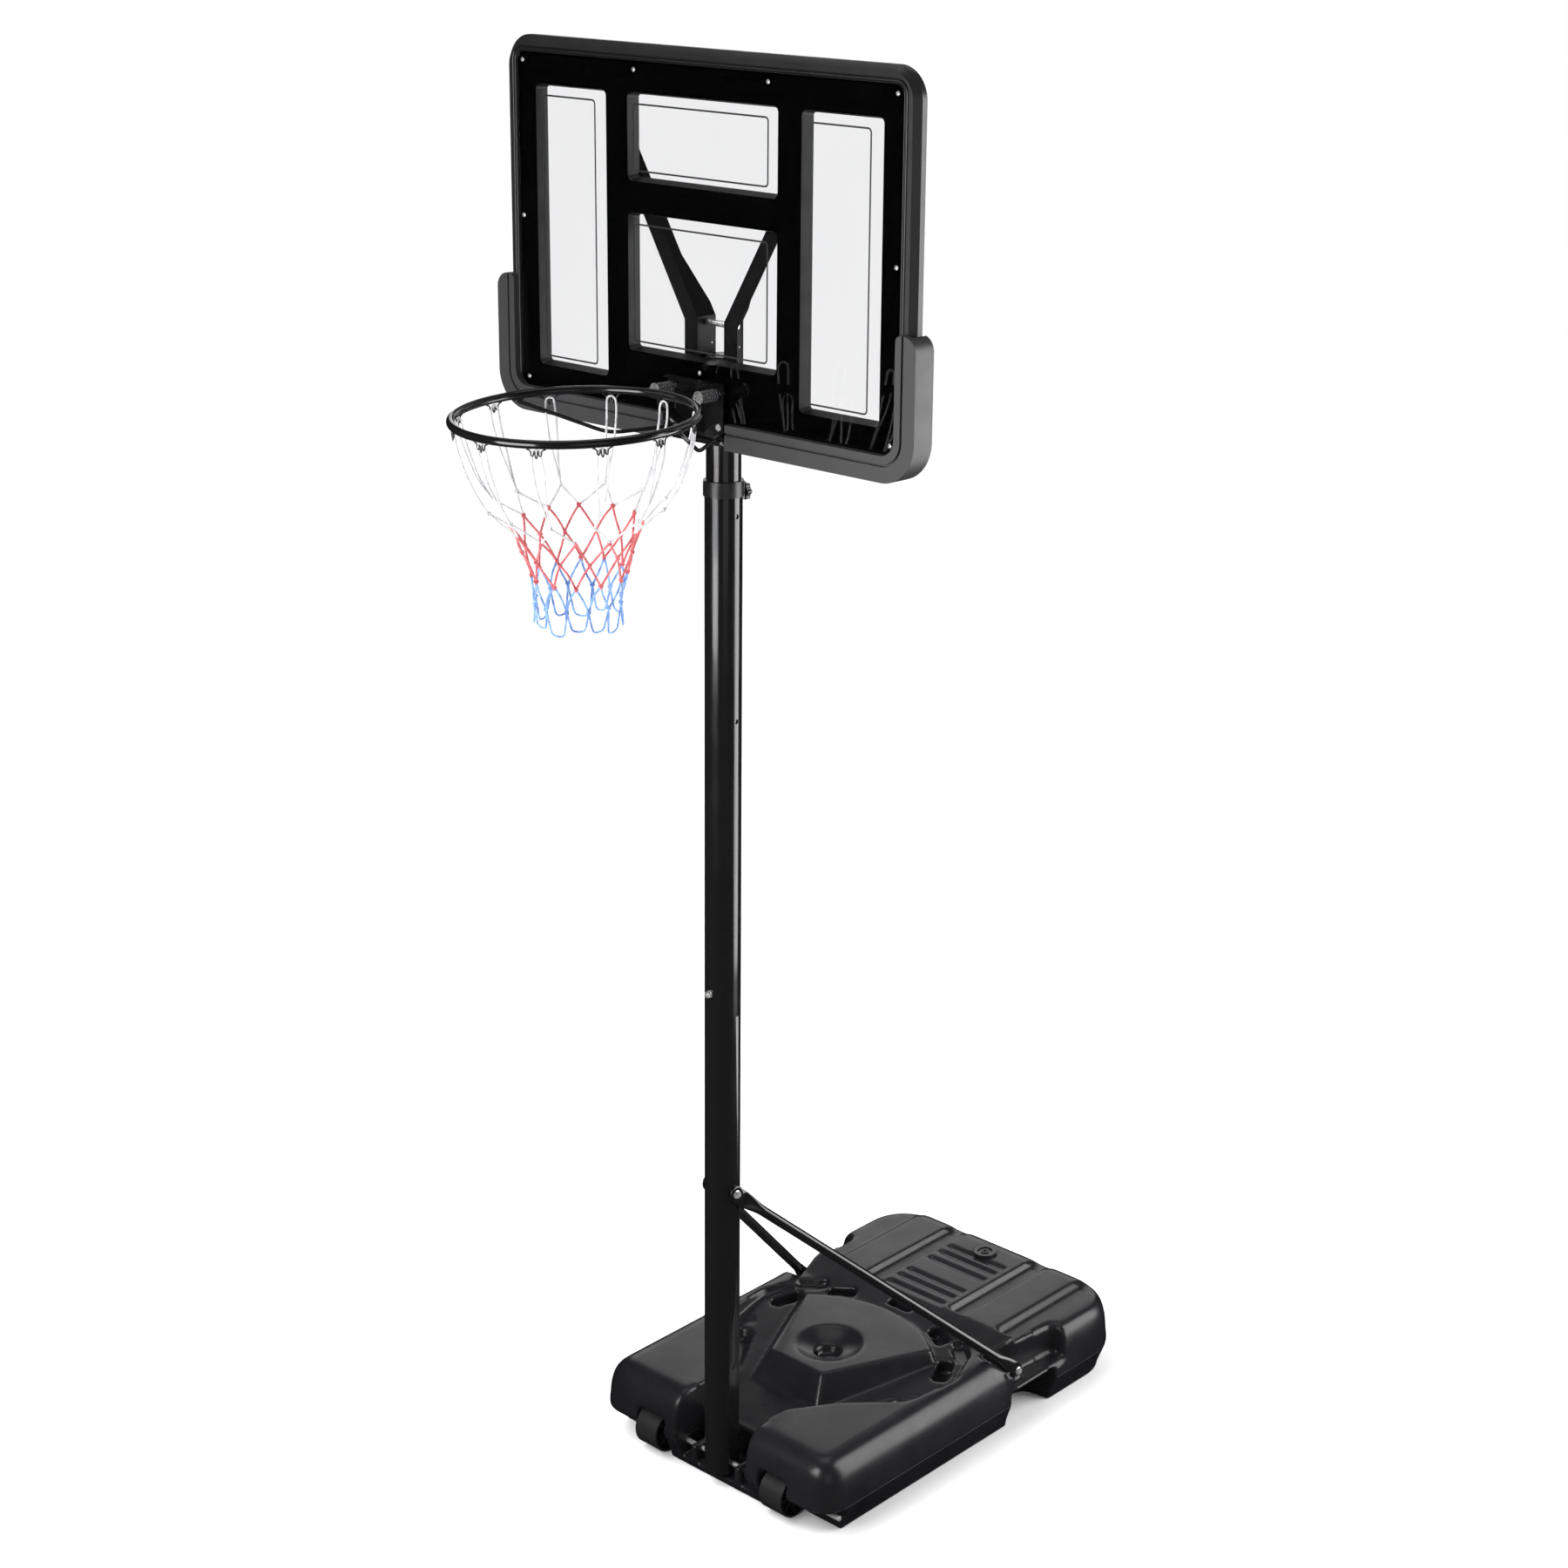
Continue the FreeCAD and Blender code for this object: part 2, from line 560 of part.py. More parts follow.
# ---------- struts ----------
def strut(sign):
    p1 = lean_point(V(sign * 41.2, 0.0, STRUT_BOLT_Z))
    p2 = V(sign * FOOT_BOLT[0], FOOT_BOLT[1], FOOT_BOLT[2])
    d = (p2 - p1).normalize()
    length = (p2 - p1).Length
    flat_dir = V(0, d.y, d.z).normalize()

    def section(c, n, wide, thick):
        """24-sided outline at c across n: round when wide equals thick, squeezed flat otherwise."""
        u = n.cross(V(1, 0, 0)).normalize()
        w = n.cross(u).normalize()
        q = 0.55 if thick < wide * 0.5 else 1.0
        pts = []
        for k in range(24):
            a = 2.0 * math.pi * k / 24.0
            ca = math.copysign(abs(math.cos(a)) ** q, math.cos(a))
            sa = math.copysign(abs(math.sin(a)) ** q, math.sin(a))
            pts.append(c + u * (wide * ca) + w * (thick * sa))
        return Part.makePolygon(pts + pts[:1])

    sections = [section(p1 - flat_dir * 18.0, flat_dir, 18.0, 2.6)]
    sections.append(section(p1 + flat_dir * 22.0, flat_dir, 18.0, 2.6))
    sections.append(section(p1 + d * 78.0, d, STRUT_R, STRUT_R))
    sections.append(section(p2 - d * 78.0, d, STRUT_R, STRUT_R))
    sections.append(section(p2 - flat_dir * 22.0, flat_dir, 15.0, 2.6))
    sections.append(section(p2 + flat_dir * 13.0, flat_dir, 15.0, 2.6))
    outer = Part.makeLoft(sections, True, True)
    hollow = cyl(tuple(p1 + d * 84.0), tuple(d), STRUT_R - 1.6, length - 168.0)
    solid = outer.cut(hollow)
    solid = solid.cut(cyl((p1.x - 20.0, p1.y, p1.z), (1, 0, 0), 4.3, 40.0))
    return solid.cut(cyl((p2.x - 20.0, p2.y, p2.z), (1, 0, 0), 4.3, 40.0))


def fastener_through(x_from, x_to, y, z, r, across, head):
    return bolt((x_to, y, z), (-1, 0, 0), r, x_to - x_from, across, head, head * 1.4 + 3.0)


def pole_joint_bolt():
    s = bolt((0, 38.3, JOINT_BOLT_Z), (0, -1, 0), 4.0, 76.6, 13.0, 5.5, 12.0)
    return s


def strut_pole_bolt():
    return fastener_through(-44.2, 44.2, 0.0, STRUT_BOLT_Z, 4.0, 13.0, 5.5)


def strut_foot_bolts():
    """Short bolts through each flattened strut foot and its lug on the tank."""
    x, y, z = FOOT_BOLT
    out = []
    for s in (1, -1):
        out.append(bolt((s * (x + 2.7), y, z), (-s, 0, 0), 4.0, 18.6, 13.0, 5.5, 9.0))
    return out


# ---------- backboard ----------
def board_frame():
    back = rect_xz(-BOARD_HALF, BOARD_HALF, BOARD_Z0, BOARD_Z1, -57.0, BOARD_BACK, BOARD_CORNER)
    front = taper_xz(-BOARD_HALF, BOARD_HALF, BOARD_Z0, BOARD_Z1, -57.0, BOARD_FRONT, BOARD_CORNER, 12.0)
    frame = back.fuse(front)
    seat = rect_xz(-PANEL_HALF - 1, PANEL_HALF + 1, PANEL_Z0 - 1, PANEL_Z1 + 1, -90.0, -62.0, 19.0)
    frame = frame.cut(seat)
    for x0, x1, z0, z1 in WINDOWS.values():
        frame = frame.cut(taper_xz(x0, x1, z0, z1, -62.5, BOARD_BACK + 0.5, 12.0, WINDOW_TAPER))
        d = WINDOW_TAPER
        frame = frame.cut(rect_xz(x0 + d, x1 - d, z0 + d, z1 - d, BOARD_BACK - 1.0, BOARD_BACK + 5.0, 8.0))
    # step round the back edge
    ledge = rect_xz(-BOARD_HALF - 5, BOARD_HALF + 5, BOARD_Z0 - 5, BOARD_Z1 + 5, -44.0, BOARD_BACK + 5.0, 60.0)
    core = rect_xz(-BOARD_HALF + 9, BOARD_HALF - 9, BOARD_Z0 + 9, BOARD_Z1 - 9, -50.0, BOARD_BACK + 10.0, 55.0)
    frame = frame.cut(ledge.cut(core))
    frame = frame.cut(frame_cavity())
    for x, z in through_bolts():
        frame = frame.cut(cyl((x, -90.0, z), (0, 1, 0), 4.3, 70.0))
    for x, z in screw_places():
        frame = frame.cut(cyl((x, -70.0, z), (0, 1, 0), 1.95, 13.5))
    for x, z in arm_screw_places():
        frame = frame.cut(cyl((x, -50.0, z), (0, 1, 0), 3.25, 30.0))
    return frame


def through_bolts():
    """Places of the four bolts that clamp rim plate, board and arms together."""
    places = [(x, SPRING_Z) for x in (-SPRING_X, SPRING_X)]
    return places + [(x, PLATE_BOLT_Z) for x in (-PLATE_BOLT_X, PLATE_BOLT_X)]


def arm_screw_places():
    x = ARM_X + (ARM_TOP_Z - ARM_BEND_Z) * ARM_SPLAY - 8.0
    z = ARM_TOP_Z - ARM_SCREW_DROP
    return [(x, z), (-x, z)]


def frame_cavity():
    """Closed hollow inside the moulding, with solid bosses left at the fasteners."""
    d = 4.0
    cavity = rect_xz(-BOARD_HALF + 16, BOARD_HALF - 16, BOARD_Z0 + 16, BOARD_Z1 - 16, -58.0, -40.0, 50.0)
    for x0, x1, z0, z1 in WINDOWS.values():
        cavity = cavity.cut(rect_xz(x0 - d, x1 + d, z0 - d, z1 + d, -70.0, -30.0, 14.0))
    for x, z in through_bolts() + screw_places() + arm_screw_places():
        cavity = cavity.cut(cyl((x, -70.0, z), (0, 1, 0), BOSS_R, 40.0))
    return cavity


def panel():
    sheet = rect_xz(-PANEL_HALF, PANEL_HALF, PANEL_Z0, PANEL_Z1, -66.0, -62.2, 18.0)
    for x, z in through_bolts():
        sheet = sheet.cut(cyl((x, -80.0, z), (0, 1, 0), 4.4, 30.0))
    for x, z in screw_places():
        sheet = sheet.cut(cyl((x, -80.0, z), (0, 1, 0), 2.1, 30.0))
    return sheet


def outline_marks():
    marks = []
    for name, (x0, x1, z0, z1) in WINDOWS.items():
        gx = 26.0 if name in ("left", "right") else 20.0
        outer = rect_xz(x0 + gx, x1 - gx, z0 + 20, z1 - 20, -66.5, -66.05, 9.0)
        inner = rect_xz(x0 + gx + 2.6, x1 - gx - 2.6, z0 + 22.6, z1 - 22.6, -67.0, -65.0, 7.0)
        marks.append(outer.cut(inner))
    return marks


def screw_places():
    places = [(0.0, 2456.0)]
    for x, z in SCREWS:
        places += [(x, z), (-x, z)]
    return places


def screw_at(x, z):
    return cyl((x, -66.05, z), (0, -1, 0), 4.6, 1.8).fuse(cyl((x, -67.0, z), (0, 1, 0), 1.9, 9.0))


def panel_screws():
    return [screw_at(x, z) for x, z in screw_places()]


def edge_pad():
    """Right-hand L-shaped bumper with a slot for the board edge and a moulded groove."""
    out = PAD_OUT
    path = [(PAD_IN, PAD_Z0), (out, PAD_Z0), (out, PAD_TOP), (out - PAD_BAND, PAD_TOP)]
    path += [(out - PAD_BAND, PAD_Z0 + PAD_BAND), (PAD_IN, PAD_Z0 + PAD_BAND)]
    body = plate_xz(path, -84.0, -33.5, [0, 80.0, 30.0, 12.0, 34.0, 0])
    slot = rect_xz(-700.0, BOARD_HALF + 0.3, BOARD_Z0 - 0.3, 3100.0, -69.4, 0.0, BOARD_CORNER)
    body = body.cut(slot)
    w = PAD_BAND - 15.0
    n = w - 5.0
    ring_a = [(60.0, PAD_Z0 + n), (out - n, PAD_Z0 + n), (out - n, PAD_TOP + 20), (out - w, PAD_TOP + 20)]
    ring_a += [(out - w, PAD_Z0 + w), (60.0, PAD_Z0 + w)]
    groove = plate_xz(ring_a, -90.0, -78.5, [0, 50.0, 0, 0, 45.0, 0])
    return body.cut(groove)


# ---------- board bracket ----------
def arm(sign):
    """Angle-section arm: flange on the board back, web along the pole side, splayed above the bend."""
    xi = ARM_X
    xo = 72.0
    z0 = 2346.0
    zb = ARM_BEND_Z
    z1 = ARM_TOP_Z
    run = (z1 - zb) * ARM_SPLAY
    y = BOARD_BACK + 0.1
    flange = [(xi, z0), (xo, z0), (xo, zb - 6), (xo + run, z1 - 6), (xi + run, z1), (xi, zb)]
    parts = [plate_xz(flange, y, y + 3.0)]

    def web(profile, p0, p1):
        """Strip of sheet that follows the flange's inner edge from p0 to p1."""
        n = V(p1[1] - p0[1], 0, -(p1[0] - p0[0])).normalize() * 3.0
        pts = []
        for s, depth in profile:
            pts.append(V(p0[0] + (p1[0] - p0[0]) * s, y, p0[1] + (p1[1] - p0[1]) * s))
        far = []
        for s, depth in profile[::-1]:
            far.append(V(p0[0] + (p1[0] - p0[0]) * s, y + depth, p0[1] + (p1[1] - p0[1]) * s))
        loop = pts + far
        return Part.Face(Part.makePolygon(loop + loop[:1])).extrude(n)

    parts.append(web([(0.0, 50.0), (1.0, 50.0)], (xi, z0), (xi, zb + 2.0)))
    parts.append(web([(0.0, 50.0), (0.08, 50.0), (0.36, 24.0), (1.0, 22.0)], (xi, zb), (xi + run, z1)))
    s = parts[0].multiFuse(parts[1:]).removeSplitter()
    for z in ARM_BOLT_Z:
        s = s.cut(cyl((20, 0, z), (1, 0, 0), 4.2, 40.0))
    s = s.cut(cyl((20, BEND_BOLT[0], BEND_BOLT[1]), (1, 0, 0), 4.2, 40.0))
    s = s.cut(cyl((20, 5.5, 2503.0), (1, 0, 0), 2.6, 40.0))
    for x, z in through_bolts() + arm_screw_places():
        s = s.cut(cyl((x, -60, z), (0, 1, 0), 4.3, 60.0))
    return s if sign > 0 else mirrored(s)


def arm_bolts():
    return [fastener_through(-39.4, 39.4, 0.0, z, 4.0, 13.0, 5.5) for z in ARM_BOLT_Z]


def bend_bolt():
    return fastener_through(-39.4, 39.4, BEND_BOLT[0], BEND_BOLT[1], 4.0, 13.0, 5.5)


def bend_spacer():
    return tube((-36.1, BEND_BOLT[0], BEND_BOLT[1]), (1, 0, 0), 6.0, 4.1, 72.2)


def arm_screws():
    """Screws with wide heads at the splayed ends of the arms."""
    out = []
    for x, z in arm_screw_places():
        head = hexagon((x, BOARD_BACK + 3.2, z), (0, 1, 0), 12.0, 4.5)
        out.append(head.fuse(cyl((x, -48.0, z), (0, 1, 0), 3.2, 16.0)))
    return out


# ---------- rim ----------
def fixed_plate():
    s = rect_xz(-70.0, 70.0, 2322.0, 2440.0, -73.4, -69.8, 4.0)
    for x in (-SPRING_X, SPRING_X):
        s = s.cut(cyl((x, -90.0, SPRING_Z), (0, 1, 0), 4.1, 30.0))
    for x in (-PLATE_BOLT_X, PLATE_BOLT_X):
        s = s.cut(cyl((x, -90.0, PLATE_BOLT_Z), (0, 1, 0), 4.1, 30.0))
    for x0, x1 in ((-45.0, -16.0), (16.0, 45.0)):
        leg = box(x0, x1, HINGE_Y, -72.0, HINGE_Z - 5.0, HINGE_Z + 5.0)
        s = s.fuse(leg.fuse(cyl((x0, HINGE_Y, HINGE_Z), (1, 0, 0), 5.0, x1 - x0)))
    return s.removeSplitter().cut(cyl((-80.0, HINGE_Y, HINGE_Z), (1, 0, 0), 3.05, 160.0))


def hinge_rod():
    return cyl((-76.0, HINGE_Y, HINGE_Z), (1, 0, 0), 3.0, 152.0)


def moving_bracket():
    """Sprung plate with a folded top lip, and the two gussets and deck that carry the ring."""
    y0 = PLATE_FACE
    y1 = y0 + 4.0
    plate = rect_xz(-75.0, 75.0, 2338.0, 2446.0, y0, y1, 3.0)
    top = box(-75.0, 75.0, y0 - 13.0, y1, 2442.5, 2446.0)
    parts = [plate, top]
    for x0, x1 in ((-72.0, -46.0), (-15.0, 15.0), (46.0, 72.0)):
        parts.append(box(x0, x1, y0, y1, HINGE_Z, 2340.0))
        parts.append(cyl((x0, HINGE_Y, HINGE_Z), (1, 0, 0), 5.0, x1 - x0))
    for s in (1, -1):
        yz = [(y0 + 1, 2344.0), (y0 + 1, 2414.0), (y0 - 78.0, 2414.0), (y0 - 78.0, 2404.0), (y0 - 34.0, 2366.0)]
        x0 = 22.0 if s > 0 else -26.0
        parts.append(side_prism(yz, x0, x0 + 4.0))
    deck = [(-46, -157.5), (46, -157.5), (46, -150), (33, -134)]
    deck += [(33, -76), (-33, -76), (-33, -134), (-46, -150)]
    parts.append(prism(deck, 2413.6, 2418.0))
    body = parts[0].multiFuse(parts[1:]).removeSplitter()
    body = body.cut(cyl((-80.0, HINGE_Y, HINGE_Z), (1, 0, 0), 3.05, 160.0))
    for x in (-SPRING_X, SPRING_X):
        slot = cyl((x, -100.0, SPRING_Z - 0.4), (0, 1, 0), 5.0, 60.0)
        slot = slot.multiFuse([cyl((x, -100.0, SPRING_Z + 4.6), (0, 1, 0), 5.0, 60.0),
                               box(x - 5.0, x + 5.0, -100.0, -40.0, SPRING_Z - 0.4, SPRING_Z + 4.6)])
        body = body.cut(slot)
    for x in (-PLATE_BOLT_X, PLATE_BOLT_X):
        body = body.cut(cyl((x, -100.0, PLATE_BOLT_Z), (0, 1, 0), 8.8, 60.0))
    return body


def ring():
    r = Part.makeTorus(RING_R, RING_ROD, V(0, RING_Y, RING_Z), V(0, 0, 1))
    r.rotate(V(0, RING_Y, RING_Z), V(1, 0, 0), LEAN_DEG)
    return r


def ring_point(angle_deg, r=RING_R, dz=0.0):
    """Point on the level ring, in the pole's own raked frame."""
    a = math.radians(angle_deg)
    p = V(r * math.cos(a), r * math.sin(a), dz)
    q = FreeCAD.Rotation(V(1, 0, 0), LEAN_DEG).multVec(p)
    return q + V(0, RING_Y, RING_Z)


def rod(points, r):
    """Bent round rod: cylinders joined by balls."""
    parts = []
    for a, b in zip(points[:-1], points[1:]):
        parts.append(Part.makeCylinder(r, (b - a).Length, a, b - a))
    for p in points[1:-1]:
        parts.append(Part.makeSphere(r, p))
    return parts[0].multiFuse(parts[1:])


def brace(sign):
    """Bent rod from under the ring's side to the foot of the sprung plate."""
    start = ring_point(90.0 - sign * 76.0, RING_R, -RING_ROD - BRACE_R)
    return rod([start, V(sign * 125.0, -190.0, 2338.0), V(sign * 68.0, -82.0, 2345.0)], BRACE_R)


def hooks():
    """Bent-wire net hooks hanging under the ring."""
    shape = ((-5.2, -9.3), (-3.4, -13.0), (-1.9, -22.0), (0.0, -17.0), (1.9, -22.0), (3.4, -13.0), (5.2, -9.3))
    out = []
    for k in range(HOOKS):
        centre = k * 360.0 / HOOKS
        out.append(rod([ring_point(centre + da, RING_R, dz) for da, dz in shape], 1.4))
    return out


def net():
    """Tapered thin skin that stands for the knotted cord net."""
    rings = [(208.0, -31.0), (202.0, -95.0), (189.0, -135.0), (168.0, -172.0), (126.0, -210.0)]
    rings += [(107.0, -254.0), (93.0, -303.0), (87.0, -352.0), (84.0, -404.0)]
    def skin(off):
        wires = []
        for r, dz in rings:
            pts = [V((r + off) * math.cos(a), (r + off) * math.sin(a), dz)
                   for a in [2.0 * math.pi * k / 24.0 for k in range(24)]]
            wires.append(Part.makePolygon(pts + pts[:1]))
        return Part.makeLoft(wires, True, True)
    s = skin(1.2).cut(skin(-1.2))
    s.rotate(V(0, 0, 0), V(1, 0, 0), LEAN_DEG)
    s.translate(V(0, RING_Y, RING_Z))
    return s


def spring(sign):
    """Coil spring between the sprung plate and its washer."""
    rise = SPRING_LENGTH - 2 * SPRING_WIRE
    wire = Part.makeHelix(rise / SPRING_TURNS, rise, SPRING_R)
    profile = Part.Wire([Part.makeCircle(SPRING_WIRE, V(SPRING_R, 0, 0), V(0, 1, 0.1))])
    coil = Part.Wire(wire.Edges).makePipeShell([profile], True, True)
    coil.rotate(V(0, 0, 0), V(1, 0, 0), 90.0)
    coil.translate(V(sign * SPRING_X, PLATE_FACE - SPRING_WIRE - 0.1, SPRING_Z))
    return coil


def spring_bolts():
    """Long bolts from behind the arms, through the board and both rim plates, to the springs."""
    out = []
    reach = BOARD_BACK + 4.0 - PLATE_FACE + SPRING_LENGTH + 12.0
    for x in (-SPRING_X, SPRING_X):
        head = hexagon((x, BOARD_BACK + 3.2, SPRING_Z), (0, 1, 0), 13.0, 5.3)
        out.append(head.fuse(cyl((x, BOARD_BACK + 4.0, SPRING_Z), (0, -1, 0), 4.0, reach)))
    return out


def spring_nuts():
    """Washer and nut in front of each spring."""
    out = []
    face = PLATE_FACE - SPRING_LENGTH - 0.2
    for x in (-SPRING_X, SPRING_X):
        washer = tube((x, face, SPRING_Z), (0, -1, 0), 12.8, 4.02, 1.8)
        nut = hexagon((x, face - 1.9, SPRING_Z), (0, -1, 0), 13.0, 7.0)
        out += [washer, nut.cut(cyl((x, face + 10.0, SPRING_Z), (0, -1, 0), 4.02, 40.0))]
    return out


def plate_bolts():
    """Two bolts through the fixed plate, the board and the arms, with nuts behind."""
    out = []
    grip = BOARD_BACK + 3.2 + 73.5
    for x in (-PLATE_BOLT_X, PLATE_BOLT_X):
        out.append(bolt((x, -73.5, PLATE_BOLT_Z), (0, 1, 0), 4.0, grip, 13.0, 5.3, 10.0))
    return out


def main():
    tank = build_tank()
    export("base_tank", tank)
    export("fill_cap", fill_cap())
    export("wheel_right", wheel())
    export("wheel_left", mirrored(wheel()))
    export("axle_rod", cyl((-AXLE_HALF, 0, WHEEL_R), (1, 0, 0), AXLE_R, 2 * AXLE_HALF))
    export("pole_lower", pole_lower(), True)
    export("pole_middle", pole_middle(), True)
    export("pole_top", pole_top(), True)
    export("collar_sleeve", collar_sleeve(), True)
    export("locking_knob", locking_knob(), True)
    export("knob_screw", knob_screw(), True)
    export("pole_guide_bush", guide_bush(), True)
    export("pole_cap", pole_cap(), True)
    export("pole_foot_cap", foot_cap(), True)
    export("pole_joint_bolt", pole_joint_bolt(), True)
    export("strut_pole_bolt", strut_pole_bolt(), True)
    export("strut_foot_bolts", strut_foot_bolts())
    export("arm_bolts", arm_bolts(), True)
    export("arm_bend_bolt", bend_bolt(), True)
    export("arm_spacer", bend_spacer(), True)
    export("rim_hinge_rod", hinge_rod(), True)
    export("cap_gasket", cap_gasket())
    export("strut_right", strut(1))
    export("strut_left", strut(-1))
    export("board_frame", board_frame(), True)
    export("board_panel", panel(), True)
    export("panel_outlines", outline_marks(), True)
    export("panel_screws", panel_screws(), True)
    pad = edge_pad()
    export("edge_pad_right", pad, True)
    export("edge_pad_left", mirrored(pad), True)
    export("arm_right", arm(1), True)
    export("arm_left", arm(-1), True)
    export("arm_screws", arm_screws(), True)
    export("rim_mount_plate", fixed_plate(), True)
    export("rim_bracket", moving_bracket(), True)
    export("rim_ring", ring(), True)
    export("rim_braces", [brace(1), brace(-1)], True)
    export("net_hooks", hooks(), True)
    export("net", net(), True)
    export("spring_right", spring(1), True)
    export("spring_left", spring(-1), True)
    export("spring_bolts", spring_bolts(), True)
    export("spring_nuts", spring_nuts(), True)
    export("rim_plate_bolts", plate_bolts(), True)


main()
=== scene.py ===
import json
import math
import random

import bmesh
import bpy
from mathutils import Matrix, Vector


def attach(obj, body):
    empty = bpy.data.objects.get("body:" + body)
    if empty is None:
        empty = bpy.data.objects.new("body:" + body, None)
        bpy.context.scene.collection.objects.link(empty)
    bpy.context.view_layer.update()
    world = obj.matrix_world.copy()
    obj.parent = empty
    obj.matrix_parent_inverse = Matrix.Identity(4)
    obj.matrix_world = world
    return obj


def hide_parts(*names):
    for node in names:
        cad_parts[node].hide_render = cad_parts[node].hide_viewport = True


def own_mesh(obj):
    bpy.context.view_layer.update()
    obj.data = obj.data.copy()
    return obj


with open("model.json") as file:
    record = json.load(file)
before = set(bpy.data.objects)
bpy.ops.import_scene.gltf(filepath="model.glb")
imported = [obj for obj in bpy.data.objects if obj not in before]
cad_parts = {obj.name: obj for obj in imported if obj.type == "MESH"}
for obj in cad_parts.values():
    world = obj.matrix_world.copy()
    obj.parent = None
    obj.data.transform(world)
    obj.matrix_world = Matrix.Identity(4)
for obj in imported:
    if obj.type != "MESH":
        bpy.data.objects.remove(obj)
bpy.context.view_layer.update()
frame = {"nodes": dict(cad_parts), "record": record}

nodes = frame["nodes"]

# ---------- driving dimensions ----------
# the pole frame stands at the wheel axle and leans with the pole; its values are in millimetres
LEAN = math.radians(2.5)
POLE_FOOT = Vector((0.0, -0.455, 0.0483))  # metres, row frame

# camera: metres and radians; lens and sensor in millimetres
CAMERA_AT = (4.0809, -4.38215, 3.66104)
CAMERA_TURN = math.radians(43.767)
CAMERA_DOWN = math.radians(18.043)
CAMERA_ROLL = math.radians(0.485)
CAMERA_LENS = 68.41
CAMERA_SENSOR = 36.0

# tank: metres in the row frame, and rounds of relaxing
TANK_VOXEL = 0.0035
TANK_RELAX = 9
SHOULDER_RELAX = 36
CAP_AT = Vector((0.0, 0.438, 0.189))
PLUG_R = 0.019
PLUG_DEPTH = 0.008
PLUG_DROP = 0.0085
PARTING_Z = 0.065

# struts: the top bolt in the pole frame, the rest in metres in the row frame
STRUT_TOP = (41.2, 0.0, 700.0)
STRUT_FOOT = (0.330, 0.161, 0.124)
STRUT_R = 0.0112
STRUT_SIDES = 40
EAR_HALF_THICK = 0.0026
EAR_FLAT = 0.022
EAR_LENGTH = 0.078
TOP_EAR = 0.018
FOOT_EAR = 0.015
FLANGE_TOP = (44.0, 0.0, 700.0)
FLANGE_X = (0.0440, 0.3328)
FLANGE_SIDES = 36
FLANGE_PROFILE = ((0.0094, 0.0), (0.0094, 0.0008), (0.0078, 0.0018), (0.0070, 0.0021))

# ring and net: millimetres and degrees, but CORD_R, CORD_STEP, RING_BAR_R and HOOK_WIRE_R in metres
RING_R = 231.0
RING_BAR_R = 0.008
HOOKS = 12
HOOK_TURN = 360.0 / HOOKS
HOOK_WIRE_R = 0.0014
CORD_R = 0.0020
CORD_STEP = 0.0035
CORD_LAY = dict(sides=10, lobes=3, pitch=0.011, depth=0.10)
KNOT_SIZE = 0.00125
CAMERA_SIDE = -42.0
# one row of knots each: angle offset, radius, drop, extra drop towards the camera, sideways shift
NET_ROWS = ((0.0, 171.0, -171.0, 0.0, 2.0), (15.0, 126.0, -208.0, 7.0, 5.0),
            (0.0, 106.0, -252.0, 7.0, 5.0), (15.0, 92.0, -303.0, 6.0, 6.0),
            (0.0, 85.0, -353.0, 5.0, 8.0), (15.0, 78.0, -403.0, 1.0, 10.0))
# the white loops between knot and hook: share of the way in, bulge, half spread, drop
LOOP_SIDE = ((0.72, 7.0, 3.5, -132.0), (0.42, 6.0, 7.5, -92.0), (0.18, 4.0, 10.0, -52.0),
             (0.04, 0.5, 9.5, -24.0), (0.0, -1.5, 6.0, -14.2))
# half of a hook's wire, from the weld to the middle: way round the ring, drop
HALF_HOOK = ((-17.5, -9.0), (-13.5, -10.2), (-10.6, -13.5), (-9.8, -19.0), (-7.6, -21.5),
             (-5.4, -18.8), (-4.6, -14.0), (-3.4, -12.6), (-2.4, -15.0), (-2.2, -21.0))
HOOK_SHAPE = HALF_HOOK + ((0.0, -25.6),) + tuple((-u, dz) for u, dz in HALF_HOOK[::-1])

# rim springs: millimetres in the pole frame, the wire in metres
SPRING_TURNS = 7
SPRING_STEPS = 40
SPRING_LENGTH = 50.0
SPRING_X = 60.0
SPRING_Y = -79.9
SPRING_Z = 2424.0
SPRING_R = 10.4
SPRING_WIRE_R = 0.0016
SPRING_END_GAP = 3.4

# board: millimetres in the pole frame
PANEL_HALF = 516.0
PANEL_Z0 = 2369.0
PANEL_Z1 = 3034.0
PANEL_BACK = -62.2
SEAT_Y = (-62.6, -61.4)
BEAD_Y = -69.0
# round the panel: distance out, corner radius, wire radius in metres
BEADS = ((3.0, 21.0, 0.0015), (9.5, 27.0, 0.0024))
# x0, x1, z0, z1 of each window
WINDOWS = ((-467.0, -263.0, 2415.0, 2974.0), (262.0, 465.0, 2415.0, 2974.0),
           (-203.0, 202.0, 2806.0, 2975.0), (-203.0, 202.0, 2476.0, 2746.0))
NARROW_WINDOW = 300.0
# section of a printed line: growth outwards, y
LINE_SECTION = ((0.4, -66.06), (0.4, -66.5), (-3.0, -66.5), (-3.0, -66.06))
SCREWS = [(0.0, 2456.0)] + [(side * x, z)
                            for x, z in ((500.0, 3018.0), (180.0, 3018.0), (504.0, 2712.0), (496.0, 2386.0))
                            for side in (1, -1)]
SCREW_SIDES = 24
SCREW_SEAT_Y = -66.1
RECESS_Y = -66.9
# radius and height up a pan head
SCREW_PROFILE = ((4.6, 0.0), (4.6, 0.5), (4.2, 1.1), (3.2, 1.6), (1.9, 1.85))
# edges sharper than the first are broken, and faces flatter than the second are merged, in degrees
BEVEL_ANGLE = 24.0
FLAT_ANGLE = 0.6
